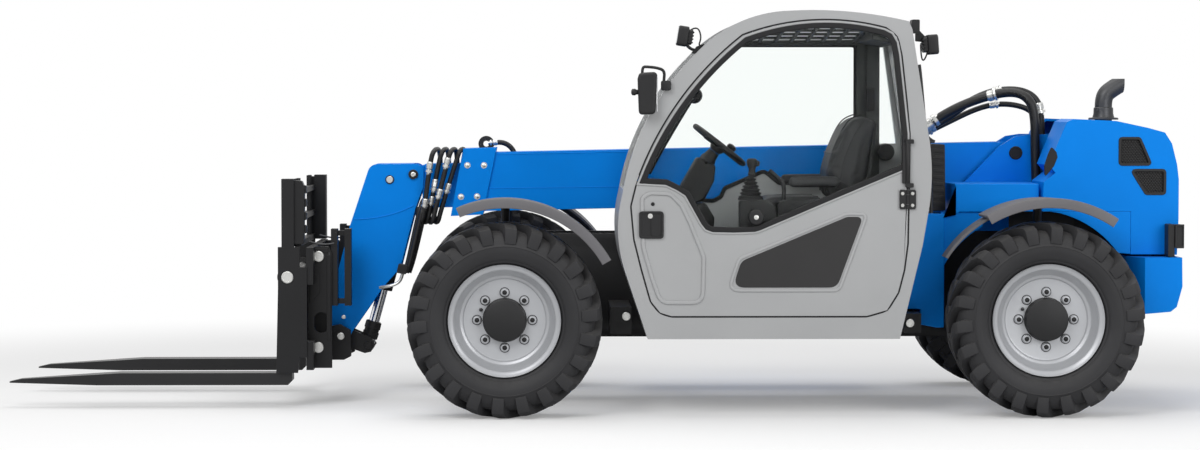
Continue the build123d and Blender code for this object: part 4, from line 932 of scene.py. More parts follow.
def makeSteering():
    tilt = math.radians(steering["tilt"])
    x, y, z = steering["place"]
    place = Matrix(((math.cos(tilt), 0, math.sin(tilt), x), (0, 1, 0, y), (-math.sin(tilt), 0, math.cos(tilt), z),
                    (0, 0, 0, 1)))
    ring = []
    for k in range(steering["rimSides"]):
        angle = 2 * math.pi * k / steering["rimSides"]
        ring.append((0.018 + steering["rimThick"] * math.sin(angle),
                     steering["rimRadius"] + steering["rimThick"] * math.cos(angle)))
    parts = [aboutZ(lathe(ring, 72)), aboutZ(lathe(steering["hub"], 32))]
    for turn in (0, 120, 240):
        spoke = plate([(0.020, -0.013), (0.132, -0.010), (0.132, 0.010), (0.020, 0.013)], 0.002, 0.012, 0.006, 3, "XY")
        bevelled(spoke, 0.003, 2)
        spoke.transform(Matrix.Rotation(math.radians(turn), 4, "Z"))
        parts.append(spoke)
    parts.append(moved(aboutZ(lathe(steering["knob"], 28)), (0.057, 0.120, 0.0)))
    wheel = joinMeshes(parts)
    wheel.transform(place)
    addPiece("steeringWheel", smoothByAngle(wheel), "mouldedBlack", "chassis", ("steering_wheel",))
    # column: shaft, cover halves with a joint line, stalks
    shaft = aboutZ(lathe(steering["shaft"], 28))
    shaft.transform(place)
    addPiece("steeringShaft", shaft, "mouldedBlack", "chassis")
    rounded("columnUpper", plate([(0.397, 1.022), (0.467, 1.143), (0.548, 1.102), (0.542, 1.034), (0.500, 0.952),
                                  (0.452, 0.930), (0.380, 0.985)], -0.520, -0.380, 0.016, 4),
            "mouldedBlack", "chassis", 0.012, 3)
    rounded("columnLower", plate([(0.302, 0.390), (0.243, 0.640), (0.292, 0.897), (0.375, 0.990), (0.455, 0.925),
                                  (0.500, 0.940), (0.542, 0.870), (0.518, 0.600), (0.537, 0.390)],
                                 -0.556, -0.344, 0.02, 4), "mouldedBlack", "chassis", 0.014, 3, ("steering_column",))
    addPiece("columnStalks", [tube([(0.500, y + side * 0.04, 1.112), (0.510, y + side * 0.10, 1.118),
                                    (0.505, y + side * 0.17, 1.128)], 0.0065, 10) for side in (-1, 1)],
             "mouldedBlack", "chassis")
    print("steering done")


console = {"place": (0.690, -0.740), "bootBase": 0.964, "bootTop": 1.056, "folds": 6}


def makeConsole():
    x, y = console["place"]
    base, top, folds = console["bootBase"], console["bootTop"], console["folds"]
    rounded("consoleBlock", plate([(0.642, 0.390), (0.638, 0.955), (0.754, 0.957), (0.797, 0.932), (0.809, 0.860),
                                   (0.809, 0.390)], -0.783, -0.697, 0.014, 4), "mouldedBlack", "chassis", 0.008, 3,
            ("side_console",))
    profile = [(base - 0.008, 0.0), (base - 0.008, 0.056), (base, 0.056)]
    for fold in range(folds):
        share = fold / folds
        z = base + (top - base) * share
        radius = 0.052 - 0.034 * share
        step = (top - base) / folds
        profile += [(z + step * 0.15, radius), (z + step * 0.5, radius + 0.002), (z + step * 0.80, radius - 0.010),
                    (z + step * 0.98, radius - 0.010)]
    profile += [(top, 0.012), (top + 0.004, 0.0)]
    boot = aboutZ(lathe(profile, 40))
    boot.transform(Matrix.Diagonal((1, 0.8, 1, 1)))
    addPiece("leverBoot", moved(boot, (x, y, 0)), "rubberTrim", "chassis")
    grip = aboutZ(lathe(((1.040, 0.0), (1.040, 0.010), (1.062, 0.011), (1.066, 0.018), (1.072, 0.019),
                         (1.076, 0.015), (1.090, 0.0145), (1.098, 0.017), (1.108, 0.022), (1.122, 0.025),
                         (1.133, 0.022), (1.138, 0.014), (1.139, 0.0)), 32))
    bump = plate([(x - 0.006, 1.100), (x + 0.038, 1.104), (x + 0.041, 1.128), (x - 0.002, 1.130)],
                 y - 0.012, y + 0.012, 0.008, 4)
    addPiece("leverGrip", smoothByAngle(joinMeshes([moved(grip, (x + 0.006, y, 0)), bevelled(bump, 0.005, 3)])),
             "mouldedBlack", "chassis")
    # second lever towards the seat, bent forward
    addPiece("brakeLever", tube([(x, -0.705, z) for x, z in ((0.835, 0.930), (0.842, 0.990), (0.835, 1.035),
                                                             (0.800, 1.062), (0.775, 1.085))], 0.010, 12),
             "mouldedBlack", "chassis")
    rounded("leverBox", plate([(0.812, 0.860), (0.812, 0.942), (0.842, 0.955), (0.874, 0.930), (0.880, 0.860)],
                              -0.728, -0.686, 0.01), "mouldedBlack", "chassis", 0.006)
    print("console done")


mirror = {"low": (0.187, -0.897, 1.330), "high": (0.273, -0.839, 1.518)}


def makeMirror():
    (x0, y0, z0), (x1, y1, z1) = mirror["low"], mirror["high"]
    outline = [(x0 + 0.006, z0), (x1 - 0.008, z0 + 0.004), (x1, z1 - 0.010), (x1 - 0.012, z1),
               (x0 + 0.008, z1 - 0.004), (x0, z1 - 0.03)]
    rounded("mirrorHousing", plate(outline, y0, y1, 0.020, 5), "mouldedBlack", "chassis", 0.014, 4, ("mirror",))
    addPiece("mirrorGlass", plate(corners(-0.888, z0 + 0.012, -0.848, z1 - 0.014), x1 - 0.002, x1 + 0.002, 0.01, 4,
                                  "YZ"), "rodChrome", "chassis")
    arm = tube([(0.208, -0.868, 1.512), (0.207, -0.868, 1.540), (0.232, -0.866, 1.540), (0.272, -0.860, 1.536),
                (0.306, -0.850, 1.524), (0.303, -0.846, 1.480), (0.300, -0.842, 1.440)], 0.0065, 12)
    clamp = bevelled(plate(corners(0.290, 1.437, 0.334, 1.480), -0.858, -0.826, 0.008), 0.004, 2)
    knob = moved(lathe(((-0.012, 0.0), (-0.012, 0.010), (0.004, 0.011), (0.010, 0.015), (0.022, 0.014),
                        (0.026, 0.008), (0.027, 0.0)), 24), (0.186, -0.868, 1.430), ("Z", 90))
    screw = lathe(((0.0, 0.0), (0.0, 0.010), (0.010, 0.010), (0.012, 0.008), (0.012, 0.0)), 20,
                  (0.312, -0.856, 1.459))
    addPiece("mirrorArm", smoothByAngle(joinMeshes([arm, clamp, knob, screw])), "mouldedBlack", "chassis")
    print("mirror done")


lamp = {"width": 0.100, "height": 0.088, "depth": 0.066, "ribs": 4}


def lampMesh():
    # lamp head looking along -X, its middle at the origin: ribbed housing and a lens
    width, height, half = lamp["width"], lamp["height"], lamp["depth"] / 2

    def slab(across, up, low, high, radius, steps=5):
        outline = corners(-width * across, -height * up, width * across, height * up)
        return plate(outline, low, high, radius, steps, "YZ")

    parts = [bevelled(slab(0.5, 0.5, -half, half * 0.4, 0.016), 0.006, 3),
             bevelled(slab(0.40, 0.38, half * 0.3, half, 0.016), 0.005, 2)]
    for k in range(lamp["ribs"]):
        z = (k - 1.5) * height * 0.17
        parts.append(prism(corners(-width * 0.43, z - 0.003, width * 0.43, z + 0.003), half * 0.35, half * 1.12, "YZ"))
    return joinMeshes(parts), slab(0.43, 0.42, -half - 0.002, -half + 0.004, 0.012)


def makeLamps():
    ready = []
    for name, place, turns in (("front", (0.399, -0.745, 1.675), (("Y", 9),)),
                               ("rear", (1.484, -0.700, 1.640), (("Z", 180), ("Y", 4)))):
        move = Matrix.Translation(place)
        for axis, degrees in turns:
            move = move @ Matrix.Rotation(math.radians(degrees), 4, axis)
        housing, lens = lampMesh()
        housing.transform(move)
        lens.transform(move)
        ready += [(name + "Lamp", smoothByAngle(housing, 35), "mouldedBlack"), (name + "Lens", lens, "clearLens")]
    brackets = [tube([(x, y, z) for x, z in ((0.405, 1.640), (0.420, 1.622), (0.445, 1.614), (0.468, 1.606))], 0.0055)
                for y in (-0.778, -0.712)]
    brackets.append(plate([(0.425, 1.600), (0.476, 1.600), (0.480, 1.640), (0.452, 1.632)], -0.790, -0.700, 0.005, 2))
    brackets.append(tube([(0.420, -0.752, 1.700), (0.450, -0.790, 1.722), (0.470, -0.812, 1.672),
                          (0.452, -0.815, 1.625), (0.480, -0.800, 1.640)], 0.0035))
    brackets.append(plate([(1.392, 1.690), (1.434, 1.690), (1.434, 1.750), (1.400, 1.750)], -0.745, -0.665, 0.005, 2))
    brackets.append(plate([(1.420, 1.655), (1.470, 1.650), (1.470, 1.668), (1.420, 1.720)], -0.712, -0.688, 0.004, 2))
    brackets.append(tube([(1.470, -0.715, 1.600), (1.455, -0.735, 1.565), (1.440, -0.745, 1.580),
                          (1.438, -0.742, 1.640)], 0.0035))
    addPiece("lampBrackets", smoothByAngle(joinMeshes(brackets)), "mouldedBlack", "chassis", ("work_lamps",))
    for name, mesh, finishName in ready:
        addPiece(name, mesh, finishName, "chassis")
    print("lamps done")


# fenders: rolled sheets with a deep outer lip, on dark stays
fender = {
    "section": ((0.612, 0.5235), (0.612, 0.5335), (0.740, 0.5350), (0.868, 0.5345), (0.878, 0.5375), (0.888, 0.5380),
                (0.8965, 0.5350), (0.9000, 0.5290), (0.9005, 0.5100), (0.8990, 0.4960), (0.8955, 0.4935),
                (0.8890, 0.4950), (0.8875, 0.5080), (0.8860, 0.5200), (0.8780, 0.5240), (0.740, 0.5240)),
    "arches": (("front_left", 30, 113), ("front_right", 30, 113), ("rear_left", 56, 121), ("rear_right", 56, 121)),
}


def makeFenders():
    sheets, stays = [], []
    for corner, startAngle, endAngle in fender["arches"]:
        low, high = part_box(corner + "_tyre")
        x, z = (low[0] + high[0]) / 2, (low[2] + high[2]) / 2
        side = -1 if "left" in corner else 1
        sheets.append(lathe(fender["section"], 48, (x, 0, z), side, startAngle, endAngle - startAngle))
        y = side * 0.542
        stays.append(tube([(x, y, z + 0.126), (x, y, z + 0.300), (x, y, z + 0.512), (x, side * 0.60, z + 0.514),
                           (x, side * 0.740, z + 0.514)], 0.020, 12))
        stays.append(plate(corners(x - 0.04, z + 0.500, x + 0.04, z + 0.5225), *sorted((side * 0.62, side * 0.76)),
                           0.004, 2))
    addPiece("fenderSheets", sheets, "fenderGrey", "chassis", ("fenders",))
    addPiece("fenderStays", stays, "frameBlack", "chassis")
    print("fenders done")


# boom: crimps, clamps, bolts, weld lines and pins
boom = {
    "middle": 0.095,
    "headFaces": (-0.0202, 0.2302),
    "collarFace": -0.0272,
    "noseFace": -0.0152,
    "crimpRadius": 0.0150,
    "collarBolts": ((-0.578, 1.0948), (-0.5009, 1.0948), (-0.6082, 0.9485), (-0.533, 0.9504)),
    # hose, height of the crimp's upper and lower end
    "crimps": ((3, 1.112, 1.050), (3, 0.940, 0.895), (2, 1.030, 0.965), (2, 0.950, 0.905),
               (1, 1.130, 1.075), (1, 0.985, 0.935), (0, 1.010, 0.960)),
    "ribs": 5,
}


def crimpMesh(first, second, radius):
    # swaged hose end between two points: a ribbed ferrule and a hexagon
    first, second = Vector(first), Vector(second)
    length = (second - first).length
    profile = [(0.0, 0.0), (0.0, radius * 0.86), (length * 0.08, radius * 0.92)]
    for k in range(boom["ribs"]):
        a = length * (0.10 + 0.42 * k / boom["ribs"])
        b = length * (0.10 + 0.42 * (k + 0.6) / boom["ribs"])
        profile += [(a, radius), (b, radius), (b + 0.0008, radius * 0.93)]
    profile += [(length * 0.54, radius * 0.80), (length * 0.62, radius * 0.80), (length * 0.63, radius * 1.12),
                (length * 0.80, radius * 1.12), (length * 0.81, radius * 0.78), (length, radius * 0.72), (length, 0.0)]
    return along(lathe(profile, 20), first, second - first)


def along(mesh, place, direction):
    # a lathe piece made about Y is laid along a direction from a place
    turn = Vector((0, 1, 0)).rotation_difference(direction).to_matrix().to_4x4()
    mesh.transform(Matrix.Translation(place) @ turn)
    return mesh


def noseHoseLine(hose):
    # route of a hose: over the boom, down its side, back along the head to the clamp
    top = -0.622 - 0.040 * hose
    low = -0.704 - 0.025 * hose
    y = -0.036 - 0.024 * (hose % 2)
    deep = 0.040 + 0.024 * hose
    return [(top + 0.034, deep, 1.096), (top + 0.034, deep, 1.168), (top + 0.012, y, 1.170), (top - 0.006, y, 1.120),
            (low, y, 0.875), (low - 0.008, y, 0.838), (low - 0.020, y + 0.020, 0.828), (low - 0.030, y + 0.048, 0.838),
            (low - 0.030, y + 0.056, 0.900)]


def noseHosePoint(hose, z):
    # middle of a hose on its run down from the boom
    (x0, y, z0), (x1, y1, z1) = noseHoseLine(hose)[3:5]
    return (x0 + (x1 - x0) * ((z0 - z) / (z0 - z1)), y, z)


def makeBoomNose():
    middle = boom["middle"]
    addPiece("noseCrimps", [crimpMesh(noseHosePoint(hose, high), noseHosePoint(hose, low), boom["crimpRadius"])
                            for hose, high, low in boom["crimps"]], "zincSilver", "inner_boom")
    hoses = [tube(noseHoseLine(hose), 0.0115, 14) for hose in range(4)]
    # the run down the rear edge of the head
    for k, (y, radius) in enumerate(((-0.036, 0.0105), (-0.060, 0.0110), (-0.034, 0.0105))):
        shift = 0.014 * k
        hoses.append(tube([(-0.780 + shift, 0.020, 0.935), (-0.786 + shift, -0.010, 0.930),
                           (-0.796 + shift, y, 0.900), (-0.812 + shift, y, 0.840),
                           (-0.856 + shift * 0.9, y, 0.640), (-0.868 + shift * 0.7, y, 0.597)], radius, 14))
    addPiece("noseHoses", hoses, "hoseRubber", "inner_boom", ("nose_hoses",))
    for name, side, face in (("collarBolts", -1, boom["collarFace"]),
                             ("collarBoltsRight", 1, 2 * middle - boom["collarFace"])):
        copiesAt(name, boltHead(side, 0.0095, 0.006, 24), [(x, face, z) for x, z in boom["collarBolts"]],
                 "zincSilver", "outer_boom")
    # lifting eye in black, and the short hose with its fitting beside it
    addPiece("liftingRing", lathe(((-0.0112, 0.0150), (-0.0112, 0.0352), (-0.0098, 0.0368), (0.0098, 0.0368),
                                   (0.0112, 0.0352), (0.0112, 0.0150), (0.0098, 0.0136), (-0.0098, 0.0136)), 48,
                                  (-0.4925, middle, 1.1933), -1), "mouldedBlack", "outer_boom")
    addPiece("noseSupply", tube([(x, middle, z) for x, z in ((-0.478, 1.196), (-0.430, 1.203), (-0.390, 1.190),
                                                             (-0.362, 1.158), (-0.358, 1.135))], 0.0125, 14),
             "hoseRubber", "outer_boom")
    addPiece("noseFitting", crimpMesh((-0.440, middle, 1.2010), (-0.484, middle, 1.1975), 0.0155), "zincSilver",
             "outer_boom")
    # weld line low on the boom and the folded top edge
    welds = []
    for side, face in ((-1, boom["noseFace"]), (1, 2 * middle - boom["noseFace"])):
        welds.append(tube([(-0.536, face, 0.9866), (-0.150, face, 0.9915), (0.230, face, 0.9962),
                           (1.150, face, 1.0150)], 0.0022, 6))
        welds.append(tube([(-0.500, face - side * 0.001, 1.1440), (0.300, face - side * 0.001, 1.1602),
                           (1.300, face - side * 0.001, 1.1806)], 0.0032, 6))
    addPiece("boomWelds", welds, "machineBlue", "outer_boom")
    # head: pin cap, socket, crease and edge bolt
    for side, name, face in zip((-1, 1), ("Left", "Right"), boom["headFaces"]):
        pinPlace, socketPlace = (-0.9382, face, 1.0282), (-0.8291, face, 1.0524)
        addPiece("headPin" + name, pinHead(pinPlace, 0.0160, 0.010, side), "zincSilver", "inner_boom")
        for word, finishName, place, turns, profile in (
            ("Collar", "rubberTrim", pinPlace, 36, ((-0.002, 0.0), (-0.002, 0.0205), (0.003, 0.0205), (0.004, 0.0195),
                                                    (0.004, 0.0))),
            ("Socket", "mouldedBlack", socketPlace, 36, ((0.0, 0.0), (0.0, 0.0225), (0.010, 0.0225), (0.012, 0.0205),
                                                         (0.012, 0.0155), (0.004, 0.0145), (0.004, 0.0))),
            ("Core", "zincSilver", socketPlace, 24, ((0.002, 0.0), (0.002, 0.0115), (0.011, 0.0115), (0.012, 0.010),
                                                     (0.012, 0.0055), (0.006, 0.005), (0.006, 0.0))),
        ):
            addPiece("head" + word + name, moved(lathe(profile, turns, origin, side), place), finishName, "inner_boom")
        addPiece("headBolt" + name, pinHead((-1.1538, face, 0.3895), 0.0095, 0.006, side), "zincSilver", "inner_boom")
        addPiece("headCrease" + name, tube([(-1.105, face, 0.8440), (-0.947, face, 0.8447), (-0.8263, face, 0.9090)],
                                           0.0030), "machineBlue", "inner_boom")
    # clamp at the bottom of the hoses and the steel pipes past it
    rounded("hoseClamp", plate([(-0.905, 0.598), (-0.862, 0.590), (-0.852, 0.632), (-0.896, 0.640)], -0.080, -0.018,
                               0.006), "mouldedBlack", "inner_boom", 0.003)
    addPiece("nosePipes", [tube([(-0.876, y, 0.604), (-0.884, y, 0.566), (-0.905, y, 0.545), (-0.945, y, 0.534),
                                 (-0.985, y + 0.02, 0.528)], 0.0075, 12) for y in (-0.036, -0.060)],
             "zincSilver", "inner_boom")
    print("boom nose done")


carriage = {
    # name, finish, distance from the middle, radius, height, rim, places
    "pins": (("hitchPins", "zincSilver", 0.3452, 0.0245, 0.016, 0.008, ((-1.2512, 0.6834), (-1.2539, 0.2672))),
             ("shaftCaps", "zincSilver", 0.4552, 0.0265, 0.018, 0.006, ((-1.384, 0.594),)),
             ("earPins", "zincSilver", 0.1522, 0.0165, 0.008, 0.004, ((-1.1646, 0.3031),)),
             ("leverPins", "frameBlack", 0.0552, 0.020, 0.008, 0.006, ((-1.045, 0.2531),))),
}


def makeCarriage():
    middle = boom["middle"]

    def makePins(name, finishName, reach, radius, height, ring, places):
        addPiece(name, [pinHead((x, middle + side * reach, z), radius, height, side, ring)
                        for side in (-1, 1) for x, z in places], finishName, "carriage")

    for row in carriage["pins"][:3]:
        makePins(*row)
    # edge strips and keeper plates on the near hitch plate and channels
    strips = []
    for side in (-1, 1):
        face = middle + side * 0.3452
        near, far = sorted((face, face + side * 0.005))
        for outline, radius, steps in (
            (corners(-1.296, 0.700, -1.208, 0.722), 0.004, 2),
            ([(-1.292, 0.462), (-1.246, 0.520), (-1.246, 0.640), (-1.292, 0.640)], 0.008, 3),
            (corners(-1.214, 0.300, -1.196, 0.690), 0.004, 2),
        ):
            strips.append(plate(outline, near, far, radius, steps))
    rounded("hitchKeepers", strips, "frameBlack", "carriage", 0.0018)
    rods = []
    for side in (-1, 1):
        y = middle + side * 0.345
        rods.append(tube([(-1.205, y, 0.700), (-1.202, y, 0.690), (-1.202, y, 0.500), (-1.202, y, 0.420)], 0.0045))
        rods.append(tube([(-1.300, y, 0.752), (-1.262, y, 0.742), (-1.215, y, 0.736), (-1.180, y, 0.744)], 0.0040))
    addPiece("hitchRods", rods, "exhaustSteel", "carriage")
    # pin through the tilt rod eye
    makePins(*carriage["pins"][3])
    # guards and ridges down the rear of the posts of the backrest
    ridges = []
    for side in (-1, 1):
        ridges.append(plate([(-1.358, 0.744), (-1.310, 0.744), (-1.306, 1.000), (-1.318, 1.030), (-1.358, 1.034)],
                            *sorted((middle + side * 0.391, middle + side * 0.449)), 0.008))
    for side in (-1, 1):
        for k in range(4):
            z = 0.790 + 0.060 * k
            ridges.append(plate([(-1.312, z), (-1.298, z + 0.004), (-1.298, z + 0.038), (-1.312, z + 0.042)],
                                *sorted((middle + side * 0.400, middle + side * 0.440)), 0.003, 2))
    rounded("backrestRidges", ridges, "frameBlack", "carriage", 0.002)
    # web inside the side plates of the carriage
    rounded("carriageWeb", plate(corners(-1.285, 0.300, -1.205, 0.450), -0.100, -0.092, 0.01), "frameBlack",
            "carriage", 0.002, 1)
    print("carriage done")


# hood: grille frames with a punched pattern
hood = {
    "face": 0.4602,
    "grilles": (((2.378, 1.222), (2.464, 1.222), (2.514, 1.108), (2.378, 1.108)),
                ((2.432, 1.078), (2.578, 1.078), (2.578, 0.976), (2.496, 0.976))),
    "cell": 0.0125,
    "rowShare": 0.62,
}


def inside(point, outline):
    hit = False
    x, z = point
    for k in range(len(outline)):
        (ax, az), (bx, bz) = outline[k - 1], outline[k]
        if (az > z) != (bz > z) and x < (bx - ax) * (z - az) / (bz - az) + ax:
            hit = not hit
    return hit


def makeGrilles():
    frames, backs, points = [], [], []
    face, step = hood["face"], hood["cell"]
    for outline in hood["grilles"]:
        line = roundOutline(outline, 0.010)
        for side in (-1, 1):
            frames.append(band(insetOutline(line, -0.008), insetOutline(line, 0.004),
                               *sorted((side * (face - 0.006), side * (face + 0.004)))))
            backs.append(prism(insetOutline(line, 0.001), *sorted((side * (face - 0.016), side * (face - 0.012)))))
        field = insetOutline(line, 0.007)
        xs, zs = zip(*outline)
        row, z = 0, min(zs)
        while z < max(zs):
            x = min(xs) + (step / 2 if row % 2 else 0)
            while x < max(xs):
                if inside((x, z), field):
                    points += [(x, side * (face - 0.009), z) for side in (-1, 1)]
                x += step
            z += step * hood["rowShare"]
            row += 1
    rounded("grilleFrames", frames, "mouldedBlack", "hood", 0.0015, 1)
    addPiece("grilleBacks", backs, "rubberTrim", "hood", ("grilles",))
    # each cell is a small raised lozenge
    cell = prism([(-0.0048, 0.0), (0.0, -0.0030), (0.0048, 0.0), (0.0, 0.0030)], -0.0035, 0.0035)
    copiesAt("grilleCells", cell, points, "insetGrey", "hood")
    print("grilles done")


# hoses from the boom to the body: radius, route
supply = (
    (0.0215, ((1.548, 0.050, 1.262), (1.640, 0.046, 1.330), (1.790, 0.034, 1.400), (1.950, -0.026, 1.442),
              (2.030, -0.080, 1.405), (2.052, -0.088, 1.310), (2.052, -0.088, 1.180), (2.058, -0.088, 1.0184))),
    (0.0185, ((1.548, 0.095, 1.240), (1.650, 0.095, 1.300), (1.820, 0.095, 1.425), (1.985, 0.095, 1.452),
              (2.090, 0.095, 1.410), (2.113, 0.095, 1.300), (2.112, 0.095, 1.040))),
    (0.0130, ((1.548, 0.130, 1.230), (1.650, 0.130, 1.280), (1.830, 0.130, 1.368), (1.960, 0.130, 1.384),
              (2.080, 0.130, 1.350), (2.112, 0.130, 1.250), (2.112, 0.130, 1.040))),
)


def makeTailLamps():
    # black body, red and clear glasses
    inner, outer, inset = 0.470, 0.549, 0.006
    bodies, reds, clears = [], [], []
    for side in (-1, 1):
        bodies.append(plate(corners(2.612, 0.733, 2.651, 0.837), *sorted((side * inner, side * outer)), 0.006))
        bodies.append(plate(corners(2.580, 0.692, 2.610, 0.839), *sorted((side * 0.462, side * 0.544)), 0.006))
        for low, high, store in ((0.741, 0.782, reds), (0.788, 0.829, clears)):
            store.append(plate(corners(inner * side + side * inset, low, side * (outer - inset), high),
                               2.6500, 2.6520, 0.005, 3, "YZ"))
    for side in (-1, 1):
        bodies.append(band(corners(2.610, 0.731, 2.6505, 0.839), corners(2.619, 0.742, 2.6430, 0.828),
                           *sorted((side * 0.5500, side * 0.5535))))
    rounded("tailBodies", bodies, "mouldedBlack", "chassis", 0.004, 2, ("tail_lamps",))
    addPiece("tailRed", reds, "redLens", "chassis")
    addPiece("tailClear", clears, "clearLens", "chassis")


def makeSupply():
    addPiece("boomCrimps", [crimpMesh((1.552, 0.050, 1.264), (1.628, 0.047, 1.320), 0.0270),
                            crimpMesh((1.552, 0.095, 1.243), (1.620, 0.095, 1.284), 0.0235),
                            crimpMesh((1.552, 0.130, 1.232), (1.610, 0.130, 1.261), 0.0175)],
             "zincSilver", "outer_boom")
    addPiece("bodyCrimps", [crimpMesh((2.112, y, 1.060), (2.112, y, 1.130), radius)
                            for y, radius in ((0.095, 0.0230), (0.130, 0.0165))], "zincSilver", "chassis")
    tubes = []
    for radius, route in supply:
        y = route[0][1]
        tubes.append(tube(route, radius, 16))
        tubes.append(tube([(1.600, y, 1.194), (1.575, y, 1.205), (1.556, y, 1.232), route[0]], radius * 0.8, 14))
    # the hoses and their joints between the boom and the body ride on no body, their placing baked into the mesh
    hoses = addPiece("supplyHoses", tubes, "hoseRubber", None, ("rear_hoses",))
    sleeves = addPiece("supplyJoints", [crimpMesh((1.846, 0.013, 1.4147), (1.896, -0.006, 1.4278), 0.0262),
                                        crimpMesh((1.880, 0.095, 1.4348), (1.932, 0.095, 1.4433), 0.0230),
                                        crimpMesh((2.095, 0.095, 1.3850), (2.108, 0.095, 1.3250), 0.0230),
                                        crimpMesh((1.870, 0.130, 1.3730), (1.920, 0.130, 1.3790), 0.0170)],
                       "zincSilver", None)
    for piece in (hoses, sleeves):
        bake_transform(piece)
    # boot over the end of the tilt rod
    boot = lathe(((0.030, 0.0), (0.030, 0.036), (0.060, 0.038), (0.062, 0.034), (0.075, 0.034), (0.077, 0.038),
                  (0.108, 0.037), (0.112, 0.030), (0.112, 0.0)), 32)
    eye, base = Vector((-1.049, 0.095, 0.255)), Vector((-0.829, 0.095, 1.053))
    addPiece("rodBoot", along(boot, eye, (base - eye).normalized()), "mouldedBlack", "tilt_rod")


exhaust = {
    "place": (2.348, -0.200, 0),
    "radius": 0.0400,
    "cuts": (((2.438, 0, 0), (1, 0, 0)), ((0, 0, 1.4945), (0, 0, 1))),
    "wall": 0.004,
    "hollow": (-0.030, 0, -0.018),
    "mouthArea": 0.002,
    "flange": ((1.3068, 0.0), (1.3068, 0.068), (1.3120, 0.069), (1.3160, 0.066), (1.3175, 0.050), (1.3340, 0.0455),
               (1.3600, 0.0445), (1.3640, 0.0405), (1.3640, 0.0)),
}


def makeExhaust():
    # sleeve, bent pipe with an upright cut, flange
    route = ((2.348, 1.300), (2.348, 1.350), (2.348, 1.392), (2.357, 1.424), (2.385, 1.446), (2.420, 1.468),
             (2.500, 1.516))
    pipe = tube([(x, exhaust["place"][1], z) for x, z in route], exhaust["radius"], 28, 20)
    shape = opened(pipe)
    for point, normal in exhaust["cuts"]:
        sliced(shape, point, normal, True)
    bmesh.ops.holes_fill(shape, edges=[edge for edge in shape.edges if len(edge.link_faces) == 1], sides=0)
    mouth = [face for face in shape.faces
             if abs(face.normal.x) > 0.99 and face.calc_area() > exhaust["mouthArea"]]
    bmesh.ops.inset_region(shape, faces=mouth, thickness=exhaust["wall"], depth=0.0)
    bmesh.ops.translate(shape, verts=list({v for face in mouth for v in face.verts}), vec=exhaust["hollow"])
    pipe = smoothByAngle(closed(shape, pipe))
    addPiece("exhaustPipe", [pipe, moved(aboutZ(lathe(exhaust["flange"], 48)), exhaust["place"])], "exhaustSteel",
             "hood", ("exhaust_stack",))


def sliced(shape, point, normal, cut=False):
    bmesh.ops.bisect_plane(shape, geom=shape.verts[:] + shape.edges[:] + shape.faces[:], dist=limits["merge"],
                           plane_co=point, plane_no=normal, clear_outer=cut)


wheelhouse = {"x": 1.990, "z": 0.430}


def makeWheelhouses():
    def arch(radius, angles):
        return [(wheelhouse["x"] + radius * math.cos(math.radians(a)),
                 wheelhouse["z"] + radius * math.sin(math.radians(a))) for a in angles]

    # side skins round the rear wheels
    for side, name in ((-1, "Left"), (1, "Right")):
        outline = [(2.4275, 0.701)] + arch(0.470, range(36, 80, 4)) + [(2.060, 0.8935), (2.4275, 0.8935)]
        rounded("wheelSkin" + name, prism(outline, *sorted((side * 0.4595, side * 0.4480))), "machineBlue", "hood")
    outline = [(1.575, 0.62)] + arch(0.455, range(156, 118, -4)) + [(1.790, 0.888), (1.575, 0.888)]
    rounded("innerSkin", prism(outline, -0.405, -0.385), "machineBlue", "chassis")
    # painted shade: black plates fill the notch between hood and body
    rounded("hoodSeals", [plate([(2.036, 1.046), (2.078, 1.098), (2.094, 1.138), (2.090, 1.160), (2.066, 1.188),
                                 (2.050, 1.150), (2.034, 1.100)], *sorted((side * 0.4530, side * 0.4622)), 0.008)
                          for side in (-1, 1)], "rubberTrim", "hood", 0.001, 1)
    # dark plates behind the rear wheels: the black frame there, and painted shade above the tyres
    addPiece("wheelHouses", [plate([(1.900, 0.780), (2.200, 0.700), (2.200, 0.885), (2.020, 0.930), (1.900, 0.930)],
                                   *sorted((side * 0.300, side * 0.290)), 0.01) for side in (-1, 1)],
             "frameBlack", "chassis")
    # liner that follows the front of each rear wheel
    addPiece("wheelLiners", [lathe(((0.560, 0.500), (0.560, 0.508), (0.640, 0.512), (0.690, 0.508), (0.696, 0.496),
                                    (0.688, 0.494), (0.640, 0.502)), 28, (wheelhouse["x"], 0, wheelhouse["z"]), side,
                                   118, 30) for side in (-1, 1)], "fenderGrey", "chassis")


tank = {"covers": 3, "vents": 7}


